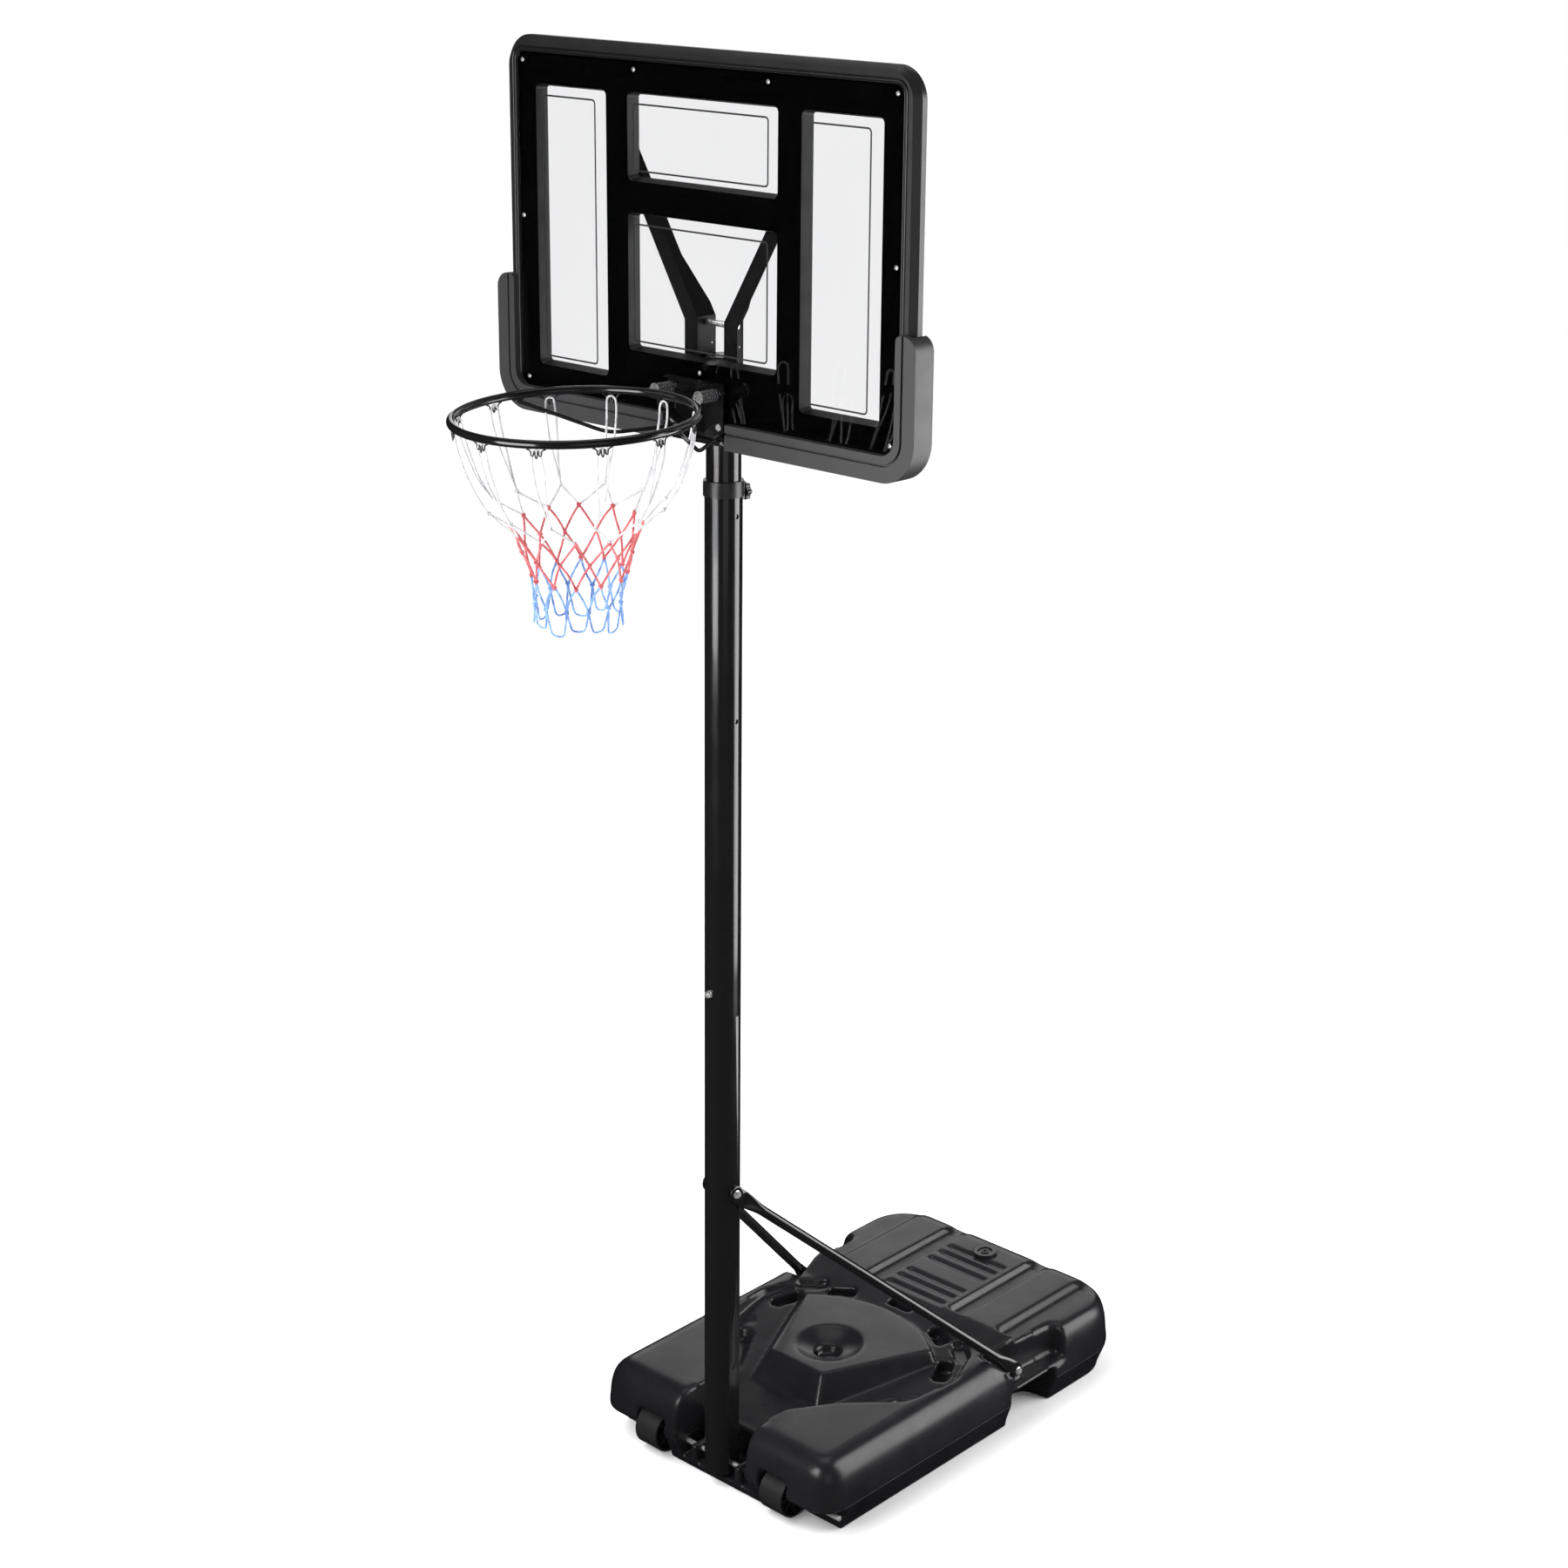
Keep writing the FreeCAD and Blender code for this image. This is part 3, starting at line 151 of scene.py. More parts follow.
# edge breaks in millimetres and their segments
EDGES = {
    "pole_lower": (0.5, 2), "pole_middle": (0.5, 2), "pole_top": (0.5, 2), "pole_cap": (1.5, 3),
    "pole_foot_cap": (0.8, 2), "collar_sleeve": (1.2, 3), "locking_knob": (1.2, 3),
    "strut_pole_bolt": (0.8, 2), "strut_foot_bolts": (0.8, 2), "arm_right": (0.5, 2),
    "arm_left": (0.5, 2), "arm_screws": (0.7, 2), "arm_bolts": (0.7, 2), "arm_bend_bolt": (0.7, 2),
    "arm_spacer": (0.4, 2), "rim_mount_plate": (1.1, 3), "rim_bracket": (1.1, 3),
    "rim_plate_bolts": (0.7, 2), "spring_bolts": (0.6, 2), "spring_nuts": (0.6, 2),
    "pole_joint_bolt": (0.7, 2), "edge_pad_right": (3.0, 4), "edge_pad_left": (3.0, 4),
    "board_frame": (2.2, 3), "fill_cap": (0.9, 2), "wheel_right": (1.0, 2), "wheel_left": (1.0, 2),
    "axle_rod": (0.6, 2), "rim_hinge_rod": (0.5, 2),
}

# studio: upright boxes as name, azimuth, distance, width, low, high, radiance
SOFTBOXES = (("box_left", -94.5, 2.7, 1.55, 1.25, 3.3, 8.0),
             ("box_right", 46.0, 2.7, 1.80, 0.05, 3.3, 5.8),
             ("card_front", -32.0, 6.2, 3.6, 0.6, 4.4, 0.45))
# name, place, aim, size, watts
PANELS = (("backdrop", (-3.6, 4.4, 2.6), (0, 0, 0.4), (5.0, 3.0), 66.0),
          ("overhead", (-0.8, 0.6, 5.2), (0, 0, 0.5), (3.0, 3.0), 30.0))
SUN_FROM = Vector((-0.52, -0.32, 0.79))
# the world's strength falls from the horizon up, so that black parts stay black
WORLD_FADE = (("From Min", 0.22), ("From Max", 0.42), ("To Min", 1.06), ("To Max", 0.40))


def from_pole(x, y, z):
    """Row-frame point for one given in the raked pole's own frame, in millimetres."""
    rise = z / 1000.0 - POLE_FOOT.z
    y = y / 1000.0
    return POLE_FOOT + Vector((x / 1000.0,
                               y * math.cos(LEAN) + rise * math.sin(LEAN),
                               rise * math.cos(LEAN) - y * math.sin(LEAN)))


def to_pole(point):
    """The reverse of from_pole: pole-frame millimetres of a row-frame point."""
    d = point - POLE_FOOT
    y = d.y * math.cos(LEAN) - d.z * math.sin(LEAN)
    z = d.y * math.sin(LEAN) + d.z * math.cos(LEAN) + POLE_FOOT.z
    return Vector((point.x, y, z)) * 1000.0


RING_AT = from_pole(0.0, -392.0, 2416.0)


# ---------- materials ----------
class Paint:
    """One node material on the Principled shader, with small helpers for its procedural detail."""

    def __init__(self, name, color, rough, metallic=0.0, spec=0.5):
        self.mat = bpy.data.materials.new(name)
        self.mat.use_nodes = True
        self.tree = self.mat.node_tree
        self.shader = self.tree.nodes["Principled BSDF"]
        self.set("Base Color", (*color, 1.0))
        self.set("Roughness", rough)
        self.set("Metallic", metallic)
        self.set("Specular IOR Level", spec)
        self.coords = self.tree.nodes.new("ShaderNodeTexCoord")
        self.bump_out = None

    def set(self, socket, value):
        self.shader.inputs[socket].default_value = value

    def link(self, a, b):
        self.tree.links.new(a, b)

    def noise(self, scale, detail=4.0, rough=0.5, stretch=(1.0, 1.0, 1.0)):
        place = self.tree.nodes.new("ShaderNodeMapping")
        place.inputs["Scale"].default_value = stretch
        self.link(self.coords.outputs["Object"], place.inputs["Vector"])
        node = self.tree.nodes.new("ShaderNodeTexNoise")
        node.inputs["Scale"].default_value = scale
        node.inputs["Detail"].default_value = detail
        node.inputs["Roughness"].default_value = rough
        self.link(place.outputs["Vector"], node.inputs["Vector"])
        return node.outputs["Fac"]

    def ramp(self, source, low, high, start=0.35, stop=0.65):
        node = self.tree.nodes.new("ShaderNodeMapRange")
        node.inputs["From Min"].default_value = start
        node.inputs["From Max"].default_value = stop
        node.inputs["To Min"].default_value = low
        node.inputs["To Max"].default_value = high
        self.link(source, node.inputs["Value"])
        return node.outputs["Result"]

    def roughness(self, source, low, high):
        self.link(self.ramp(source, low, high), self.shader.inputs["Roughness"])

    def tint(self, source, dark, light):
        node = self.tree.nodes.new("ShaderNodeMix")
        node.data_type = "RGBA"
        node.inputs["A"].default_value = (*dark, 1.0)
        node.inputs["B"].default_value = (*light, 1.0)
        self.link(self.ramp(source, 0.0, 1.0), node.inputs["Factor"])
        self.link(node.outputs["Result"], self.shader.inputs["Base Color"])

    def level_line(self, z, half):
        """A groove at height z: 1 away from it, falling to 0 on it."""
        split = self.tree.nodes.new("ShaderNodeSeparateXYZ")
        self.link(self.coords.outputs["Object"], split.inputs["Vector"])
        shifted = self.tree.nodes.new("ShaderNodeMath")
        shifted.operation = "SUBTRACT"
        shifted.inputs[1].default_value = z
        self.link(split.outputs["Z"], shifted.inputs[0])
        away = self.tree.nodes.new("ShaderNodeMath")
        away.operation = "ABSOLUTE"
        self.link(shifted.outputs["Value"], away.inputs[0])
        return self.ramp(away.outputs["Value"], 0.0, 1.0, half * 0.3, half)

    def bump(self, source, height, distance=0.001):
        node = self.tree.nodes.new("ShaderNodeBump")
        node.inputs["Strength"].default_value = height
        node.inputs["Distance"].default_value = distance
        self.link(source, node.inputs["Height"])
        if self.bump_out is not None:
            self.link(self.bump_out, node.inputs["Normal"])
        self.bump_out = node.outputs["Normal"]
        self.link(self.bump_out, self.shader.inputs["Normal"])


def powder_coat():
    """Gloss black paint on steel, with faint orange peel and handling haze."""
    p = Paint("black_steel", (0.006, 0.006, 0.0065), 0.16)
    p.roughness(p.noise(9.0, 5.0), 0.12, 0.20)
    p.bump(p.noise(160.0, 2.0), 0.03, 0.0004)
    p.set("Coat Weight", 0.25)
    p.set("Coat Roughness", 0.06)
    return p.mat


def arm_paint():
    """Duller powder coat on the arms behind the clear sheet."""
    p = Paint("arm_paint", (0.005, 0.005, 0.0055), 0.4, spec=0.10)
    p.roughness(p.noise(9.0, 5.0), 0.36, 0.46)
    p.bump(p.noise(160.0, 2.0), 0.03, 0.0004)
    return p.mat


def spring_steel():
    """Blackened, oiled spring wire."""
    p = Paint("spring_steel", (0.26, 0.26, 0.27), 0.22, metallic=0.80)
    p.tint(p.noise(220.0, 3.0), (0.20, 0.20, 0.21), (0.32, 0.32, 0.33))
    p.roughness(p.noise(300.0, 3.0), 0.16, 0.28)
    return p.mat


def blown_plastic():
    """Blow-moulded black polyethylene with a fine matt grain and soft flow variation."""
    p = Paint("tank_plastic", (0.008, 0.008, 0.009), 0.32, spec=0.38)
    p.tint(p.noise(5.0, 6.0), (0.006, 0.006, 0.007), (0.010, 0.010, 0.0115))
    p.roughness(p.noise(14.0, 6.0, 0.6), 0.26, 0.34)
    p.bump(p.noise(700.0, 3.0), 0.08, 0.0004)
    p.bump(p.noise(16.0, 3.0), 0.05, 0.002)
    p.bump(p.level_line(PARTING_Z, 0.0011), 1.0, 0.0012)
    return p.mat


def moulded_plastic(name, tone, rough_low, rough_high, grain=900.0):
    """Black moulded plastic or rubber with a fine grain."""
    p = Paint(name, (tone, tone, tone * 1.05), rough_low)
    p.roughness(p.noise(22.0, 5.0), rough_low, rough_high)
    p.bump(p.noise(grain, 2.0), 0.10, 0.0003)
    return p.mat


def seat_shade_plastic():
    """Painted shade: a darker copy of the frame plastic, with no shine of its own, for the flat face behind
    the clear panel, where only the panel shines.
    """
    p = Paint("frame_seat_shade", (0.0022, 0.0022, 0.0026), 0.6, spec=0.0)
    p.tint(p.noise(40.0, 4.0), (0.0018, 0.0018, 0.0021), (0.0027, 0.0027, 0.0031))
    return p.mat


def zinc():
    """Bright zinc plate with brushed streaks and a faint cloudy passivation."""
    p = Paint("zinc_steel", (0.62, 0.62, 0.60), 0.28, metallic=0.75)
    p.tint(p.noise(120.0, 4.0), (0.44, 0.44, 0.43), (0.70, 0.70, 0.68))
    p.roughness(p.noise(260.0, 4.0), 0.18, 0.36)
    p.bump(p.noise(600.0, 2.0, stretch=(1.0, 1.0, 8.0)), 0.08, 0.0002)
    return p.mat


def clear_sheet():
    """Polished clear plastic: a gloss coat on a body that lets light straight through."""
    p = Paint("clear_sheet", (0.885, 0.887, 0.897), 0.0)
    p.set("Transmission Weight", 1.0)
    p.set("IOR", 1.01)
    p.set("Coat Weight", 1.0)
    p.set("Coat Roughness", 0.012)
    p.set("Coat IOR", 1.49)
    p.tint(p.noise(3.0, 4.0), (0.878, 0.880, 0.890), (0.892, 0.894, 0.902))
    return p.mat


def pressed_sheet():
    """The sheet's back, which lies on the frame and sends no light back."""
    p = Paint("pressed_sheet", (0.885, 0.887, 0.897), 0.0, spec=0.0)
    p.set("Transmission Weight", 1.0)
    p.set("IOR", 1.01)
    p.tint(p.noise(3.0, 4.0), (0.878, 0.880, 0.890), (0.892, 0.894, 0.902))
    return p.mat


def printed_line():
    """Screen-printed ink on the panel."""
    p = Paint("print_black", (0.012, 0.012, 0.012), 0.4)
    p.roughness(p.noise(300.0, 2.0), 0.3, 0.5)
    return p.mat


def net_cord(name, dark, light):
    """Braided cord: fine strands in the bump and slight fading along its length."""
    p = Paint(name, light, 0.75)
    p.tint(p.noise(60.0, 4.0), dark, light)
    p.bump(p.noise(1800.0, 2.0), 0.5, 0.0006)
    p.set("Sheen Weight", 0.3)
    return p.mat


MATERIALS = {
    "black_steel": powder_coat(),
    "arm_paint": arm_paint(),
    "spring_steel": spring_steel(),
    "tank_plastic": blown_plastic(),
    "wheel_plastic": moulded_plastic("wheel_plastic", 0.012, 0.32, 0.42),
    "black_plastic": moulded_plastic("black_plastic", 0.010, 0.26, 0.36),
    "frame_plastic": moulded_plastic("frame_plastic", 0.012, 0.32, 0.40, 500.0),
    # painted shade: the frame plastic made darker and unshining where it lies behind the panel
    "frame_seat_shade": seat_shade_plastic(),
    "pad_rubber": moulded_plastic("pad_rubber", 0.030, 0.42, 0.50, 500.0),
    "seal_rubber": moulded_plastic("seal_rubber", 0.018, 0.55, 0.70),
    "zinc_steel": zinc(),
    "clear_sheet": clear_sheet(),
    "pressed_sheet": pressed_sheet(),
    "print_black": printed_line(),
    "net_white": net_cord("net_white", (0.46, 0.46, 0.48), (0.62, 0.62, 0.63)),
    "net_red": net_cord("net_red", (0.40, 0.035, 0.045), (0.60, 0.13, 0.14)),
    "net_blue": net_cord("net_blue", (0.05, 0.13, 0.40), (0.24, 0.42, 0.72)),
}
MATERIALS["net_cord"] = MATERIALS["net_white"]

BODY = {node: body for body, members in frame["record"]["behaviour"]["bodies"].items()
        for node in members}
SLOT = {part["node"]: part["material_slot"] for part in frame["record"]["subparts"]}


def paint(obj, name):
    obj.data.materials.clear()
    obj.data.materials.append(MATERIALS[name])


def paint_cad_nodes():
    for node, name in SLOT.items():
        paint(nodes[node], name)


# ---------- mesh helpers ----------
def from_ring(angle, radius, dz):
    """Row-frame point at an angle round the level ring, at a radius and height in millimetres."""
    a = math.radians(angle)
    return RING_AT + Vector((radius * math.cos(a), radius * math.sin(a), dz)) / 1000.0


def mesh_piece(name, bm, smooth=35.0):
    """A new object from bm, shaded smooth up to that angle."""
    mesh = bpy.data.meshes.new(name)
    bm.to_mesh(mesh)
    bm.free()
    mesh.shade_smooth()
    mesh.set_sharp_from_angle(angle=math.radians(smooth))
    obj = bpy.data.objects.new(name, mesh)
    bpy.context.scene.collection.objects.link(obj)
    return obj


def bake(obj):
    """Applies the object's modifiers to its mesh."""
    graph = bpy.context.evaluated_depsgraph_get()
    mesh = bpy.data.meshes.new_from_object(obj.evaluated_get(graph))
    obj.modifiers.clear()
    old = obj.data
    obj.data = mesh
    bpy.data.meshes.remove(old)
    return obj


def cad_bmesh(node):
    """The CAD node's own faces in the row frame, with split seams merged."""
    bm = bmesh.new()
    bm.from_mesh(nodes[node].data)
    bm.transform(nodes[node].matrix_world)
    bmesh.ops.remove_doubles(bm, verts=bm.verts, dist=4e-6)
    return bm


def stand_in(obj, *cad, material=None):
    """obj takes the place of these CAD nodes: it rides their body and wears the finish their slot names."""
    paint(obj, material or SLOT[cad[0]])
    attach(obj, BODY[cad[0]])
    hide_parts(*cad)
    return obj


def add_on(obj, node, material=None):
    """obj is detail that goes with a CAD node."""
    paint(obj, material or SLOT[node])
    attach(obj, BODY[node])


def bevelled(node, width, segments):
    """The node's shape with its edges broken, as pressed, turned and moulded parts have."""
    bm = cad_bmesh(node)
    bmesh.ops.dissolve_limit(bm, angle_limit=math.radians(FLAT_ANGLE), verts=bm.verts, edges=bm.edges,
                             delimit=set())
    obj = mesh_piece(node + "_made", bm)
    edges = obj.modifiers.new("edges", "BEVEL")
    edges.width = width
    edges.segments = segments
    edges.limit_method = "ANGLE"
    edges.angle_limit = math.radians(BEVEL_ANGLE)
    edges.harden_normals = True
    return stand_in(bake(obj), node)


def frames_along(path, closed=False):
    """Tangent and a pair of side vectors at each point, carried along without twist."""
    count = len(path)
    out = []
    side = None
    for i in range(count):
        before = path[(i - 1) % count] if closed or i > 0 else path[i]
        after = path[(i + 1) % count] if closed or i < count - 1 else path[i]
        tangent = (after - before).normalized()
        if side is None:
            side = tangent.cross(Vector((0.31, 0.12, 0.94))).normalized()
        side = (side - tangent * side.dot(tangent)).normalized()
        out.append((tangent, side, tangent.cross(side)))
    return out


def bridge(bm, rings):
    """Faces between each ring of points and the next."""
    for low, high in zip(rings[:-1], rings[1:]):
        count = len(low)
        for k in range(count):
            bm.faces.new((low[k], low[(k + 1) % count], high[(k + 1) % count], high[k]))


def sweep(bm, path, radius, sides, closed=False, lobes=0, pitch=1.0, depth=0.0):
    """Tube along path; lobes, pitch and depth give it the lay of a twisted cord."""
    rings = []
    run = 0.0
    for i, (point, axes) in enumerate(zip(path, frames_along(path, closed))):
        if i:
            run += (path[i] - path[i - 1]).length
        ring = []
        for k in range(sides):
            a = 2.0 * math.pi * k / sides
            lay = 1.0 + depth * math.cos(lobes * a + 2.0 * math.pi * run / pitch)
            r = radius * lay if lobes else radius
            ring.append(bm.verts.new(point + axes[1] * (r * math.cos(a)) + axes[2] * (r * math.sin(a))))
        rings.append(ring)
    bridge(bm, rings + rings[:1] if closed else rings)
    if not closed:
        bm.faces.new(rings[0][::-1])
        bm.faces.new(rings[-1])


def smooth_path(points, step):
    """Catmull-Rom line through points, sampled about every step."""
    out = []
    ends = [points[0] * 2 - points[1]] + list(points) + [points[-1] * 2 - points[-2]]
    for p0, p1, p2, p3 in zip(ends[:-3], ends[1:-2], ends[2:-1], ends[3:]):
        count = max(1, round((p2 - p1).length / step))
        for i in range(count):
            t = i / count
            a = p1 * 2.0 + (p2 - p0) * t
            b = (p0 * 2.0 - p1 * 5.0 + p2 * 4.0 - p3) * (t * t)
            c = (p1 * 3.0 - p0 - p2 * 3.0 + p3) * (t * t * t)
            out.append((a + b + c) * 0.5)
    return out + [points[-1]]


def bead(bm, centre, size, rng):
    """Small uneven weld bead."""
    made = bmesh.ops.create_icosphere(bm, subdivisions=2, radius=1.0)
    for v in made["verts"]:
        x, y, z = (s * c * rng.uniform(0.93, 1.07) for s, c in zip(size, v.co))
        v.co = centre + Vector((-x, -y, z))


# ---------- ballast tank ----------
def shoulder(at):
    """True on the tank's outer walls and top edges, clear of the wheel pockets and strut feet."""
    if at.z < 0.085 or 0.075 < at.y < 0.245:
        return False
    return abs(at.x) > 0.295 or at.y > 0.470 or (at.y < -0.415 and abs(at.x) > 0.100)


def relax(bm, verts, rounds):
    for _ in range(rounds):
        bmesh.ops.smooth_vert(bm, verts=verts, factor=0.5, use_axis_x=True, use_axis_y=True, use_axis_z=True)


def tank_shell():
    """Blow-moulded skin: the tank's outer form, remeshed and relaxed so that every edge is round."""
    bm = cad_bmesh("base_tank")
    plug = Matrix.Translation(CAP_AT - Vector((0, 0, PLUG_DROP)))
    bmesh.ops.create_cone(bm, cap_ends=True, segments=40, radius1=PLUG_R, radius2=PLUG_R,
                          depth=PLUG_DEPTH, matrix=plug)
    obj = mesh_piece("tank_skin", bm)
    grid = obj.modifiers.new("grid", "REMESH")
    grid.mode = "VOXEL"
    grid.voxel_size = TANK_VOXEL
    bake(obj)
    bm = bmesh.new()
    bm.from_mesh(obj.data)
    keep_outer_shell(bm)
    relax(bm, bm.verts, TANK_RELAX)
    relax(bm, [v for v in bm.verts if shoulder(v.co)], SHOULDER_RELAX)
    for v in bm.verts:
        v.co.z = max(v.co.z, 0.0)
    bm.to_mesh(obj.data)
    bm.free()
    obj.data.shade_smooth()
    stand_in(obj, "base_tank")


def keep_outer_shell(bm):
    """Drops every connected piece but the largest."""
    seen = set()
    groups = []
    for start in bm.verts:
        if start in seen:
            continue
        group = [start]
        seen.add(start)
        for v in group:
            for edge in v.link_edges:
                other = edge.other_vert(v)
                if other not in seen:
                    seen.add(other)
                    group.append(other)
        groups.append(group)
    groups.sort(key=len)
    extra = [v for group in groups[:-1] for v in group]
    bmesh.ops.delete(bm, geom=extra, context="VERTS")


# ---------- net ----------
def net_knots(rng):
    """Knot places by row: one list of points for each of NET_ROWS."""
    rows = []
    for offset, radius, drop, tilt, shift in NET_ROWS:
        row = []
        for k in range(HOOKS):
            angle = HOOK_TURN * k + offset + rng.uniform(-2.2, 2.2)
            facing = math.radians(angle - CAMERA_SIDE)
            dz = drop - tilt * math.cos(facing) + rng.uniform(-2.5, 2.5)
            point = from_ring(angle, radius + rng.uniform(-2.5, 2.5), dz)
            side = math.radians(CAMERA_SIDE - 90.0)
            row.append(point + Vector((math.cos(side), math.sin(side), 0.0)) * (shift / 1000.0))
        rows.append(row)
    return rows


def sagging(a, b, slack, rng):
    """Strand between two knots, with a little slack and sideways set."""
    middle = (a + b) * 0.5
    out = Vector((middle.x - RING_AT.x, middle.y - RING_AT.y, 0.0)).normalized()
    around = out.cross(Vector((0, 0, 1)))
    push = out * rng.uniform(-slack, slack) + around * rng.uniform(-slack, slack)
    return [a, a.lerp(b, 0.33) + push, a.lerp(b, 0.68) + push * 0.8, b]


def knot(bm, at, size, rng):
    """Tightened knot: one closed trefoil of cord, turned at random."""
    turn = Matrix.Rotation(rng.uniform(0, 6.28), 3, "Z") @ Matrix.Rotation(rng.uniform(1.0, 2.1), 3, "X")
    path = []
    steps = 42
    for i in range(steps):
        t = 2.0 * math.pi * i / steps
        p = Vector((math.sin(t) + 2.0 * math.sin(2.0 * t),
                    math.cos(t) - 2.0 * math.cos(2.0 * t),
                    -1.6 * math.sin(3.0 * t)))
        path.append(at + turn @ (p * size))
    sweep(bm, path, CORD_R * 0.92, 8, closed=True)


def white_loops(bm, knots, rng):
    """Two strands from each top knot, out round the bar and onto its hook."""
    for k, low in enumerate(knots):
        hook = HOOK_TURN * k
        for sign in (1, -1):
            points = [low]
            for share, bulge, spread, dz in LOOP_SIDE:
                radius = RING_R + (NET_ROWS[0][1] - RING_R) * share + bulge
                a = hook + sign * math.degrees(spread / radius) + rng.uniform(-0.35, 0.35)
                points.append(from_ring(a, radius, dz))
            points.append(from_ring(hook, RING_R - 2.5, -11.4))
            sweep(bm, smooth_path(points, CORD_STEP), CORD_R, **CORD_LAY)


def bottom_loops(bm, knots, tips, rng):
    """Free loops at the bottom of the net, each a little different."""
    for k in range(HOOKS):
        a = knots[k]
        b = knots[(k + 1) % HOOKS]
        tip = tips[k] + Vector((0, 0, rng.uniform(-0.004, 0.011)))
        out = Vector((tip.x - RING_AT.x, tip.y - RING_AT.y, 0.0)).normalized() * rng.uniform(-0.009, 0.009)
        wide = (b - a) * rng.uniform(0.20, 0.30)
        left = a.lerp(tip, 0.58) - wide * 0.75 + out * 0.5
        right = b.lerp(tip, 0.58) + wide * 0.75 + out * 0.5
        base = tip + out
        sweep(bm, smooth_path([a, left, base - wide, base + wide, right, b], CORD_STEP), CORD_R, **CORD_LAY)


def net_cords():
    """The knotted net: white loops on the hooks, then red meshes, then blue ones and the bottom loops."""
    rng = random.Random(7)
    white, red, blue = bmesh.new(), bmesh.new(), bmesh.new()
    rows = net_knots(rng)
    white_loops(white, rows[0], rng)
    for upper, bm, slack in ((0, white, 0.002), (1, red, 0.003), (2, red, 0.003), (3, blue, 0.004)):
        first = 0 if NET_ROWS[upper][0] == 0.0 else 1
        for k in range(HOOKS):
            for step in (first - 1, first):
                a = rows[upper][k]
                b = rows[upper + 1][(k + step) % HOOKS]
                sweep(bm, smooth_path(sagging(a, b, slack, rng), CORD_STEP), CORD_R, **CORD_LAY)
    bottom_loops(blue, rows[4], rows[5], rng)
    for row, bm in ((0, white), (1, red), (2, red), (3, red), (4, blue)):
        for at in rows[row]:
            knot(bm, at, KNOT_SIZE, rng)
    for name, bm in (("net_white", white), ("net_red", red), ("net_blue", blue)):
        stand_in(mesh_piece(name + "_cord", bm, 80.0), "net", material=name)


def under_bar(k, u, dz):
    """Point at hook k, u millimetres round the bar from the hook's middle."""
    return from_ring(HOOK_TURN * k + math.degrees(u / RING_R), RING_R, dz)


def net_hooks():
    """Wire hooks: two short side loops, a longer middle one, and a weld at each end."""
    rng = random.Random(11)
    bm = bmesh.new()
    for k in range(HOOKS):
        sweep(bm, smooth_path([under_bar(k, u, dz) for u, dz in HOOK_SHAPE], 0.0012), HOOK_WIRE_R, 10)
        for u in (-16.5, 16.5):
            bead(bm, under_bar(k, u, -8.2), (0.0034, 0.0026, 0.0018), rng)
    stand_in(mesh_piece("net_hook_wires", bm, 60.0), "net_hooks")


# ---------- rim ----------
def rim_ring():
    """Round bar of the ring."""
    bm = bmesh.new()
    steps = 240
    path = [from_ring(360.0 * i / steps, RING_R, 0.0) for i in range(steps)]
    sweep(bm, path, RING_BAR_R, 32, closed=True)
    stand_in(mesh_piece("ring_bar", bm, 60.0), "rim_ring")


def brace_end(sign):
    """Angle round the ring at which a brace is welded on."""
    return 90.0 - sign * 76.0


def rim_welds():
    """Weld beads where the braces and the bracket's deck meet the ring and plate."""
    rng = random.Random(3)
    bm = bmesh.new()
    for sign in (1, -1):
        for i in range(7):
            bead(bm, from_ring(brace_end(sign) + (i - 3) * 0.75, RING_R, -9.0), (0.003, 0.0032, 0.0022), rng)
        for i in range(6):
            bead(bm, from_pole(sign * (62.0 + 2.2 * i), -79.8, 2341.5), (0.0028, 0.0024, 0.0022), rng)
    for i in range(26):
        bead(bm, from_ring(90.0 + (i - 12.5) * 0.85, 224.4, 3.2), (0.0026, 0.003, 0.002), rng)
    add_on(mesh_piece("weld_beads", bm, 60.0), "rim_ring")


def rim_braces():
    """Bent round bars with real bend radii."""
    bm = bmesh.new()
    for sign in (1, -1):
        start = from_ring(brace_end(sign), RING_R, -11.8)
        corner = from_pole(sign * 125.0, -190.0, 2338.0)
        end = from_pole(sign * 68.0, -82.0, 2345.0)
        before = corner + (start - corner).normalized() * 0.028
        after = corner + (end - corner).normalized() * 0.028
        path = [start.lerp(before, i / 12) for i in range(12)]
        for i in range(13):
            t = i / 12
            path.append(before * (1 - t) ** 2 + corner * (2 * t * (1 - t)) + after * t * t)
        path += [after.lerp(end, i / 12) for i in range(1, 13)]
        sweep(bm, path, 0.0038, 20)
    stand_in(mesh_piece("brace_bars", bm, 60.0), "rim_braces")


def coil_springs():
    """Springs on the two rim bolts, each with a mesh of its own."""
    count = SPRING_STEPS * SPRING_TURNS
    for node, sign in (("spring_right", 1), ("spring_left", -1)):
        bm = bmesh.new()
        path = []
        for i in range(count + 1):
            t = i / count
            a = 2.0 * math.pi * SPRING_TURNS * t
            y = SPRING_Y - (SPRING_LENGTH - SPRING_END_GAP) * t
            x = sign * SPRING_X + SPRING_R * math.cos(a)
            path.append(from_pole(x, y, SPRING_Z + SPRING_R * math.sin(a)))
        sweep(bm, path, SPRING_WIRE_R, 12)
        coil = stand_in(mesh_piece(node + "_coil", bm, 60.0), node, material="spring_steel")
        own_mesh(coil)


# ---------- struts ----------
def squeezed_ring(bm, centre, normal, wide, thick):
    """One outline of a tube: round when wide equals thick, pressed flat otherwise."""
    u = normal.cross(Vector((1, 0, 0))).normalized()
    w = normal.cross(u).normalized()
    q = 0.5 + 0.5 * min(1.0, thick / wide)
    ring = []
    for k in range(STRUT_SIDES):
        a = 2.0 * math.pi * k / STRUT_SIDES
        ca = math.copysign(abs(math.cos(a)) ** q, math.cos(a))
        sa = math.copysign(abs(math.sin(a)) ** q, math.sin(a))
        ring.append(bm.verts.new(centre + u * (wide * ca) + w * (thick * sa)))
    return ring


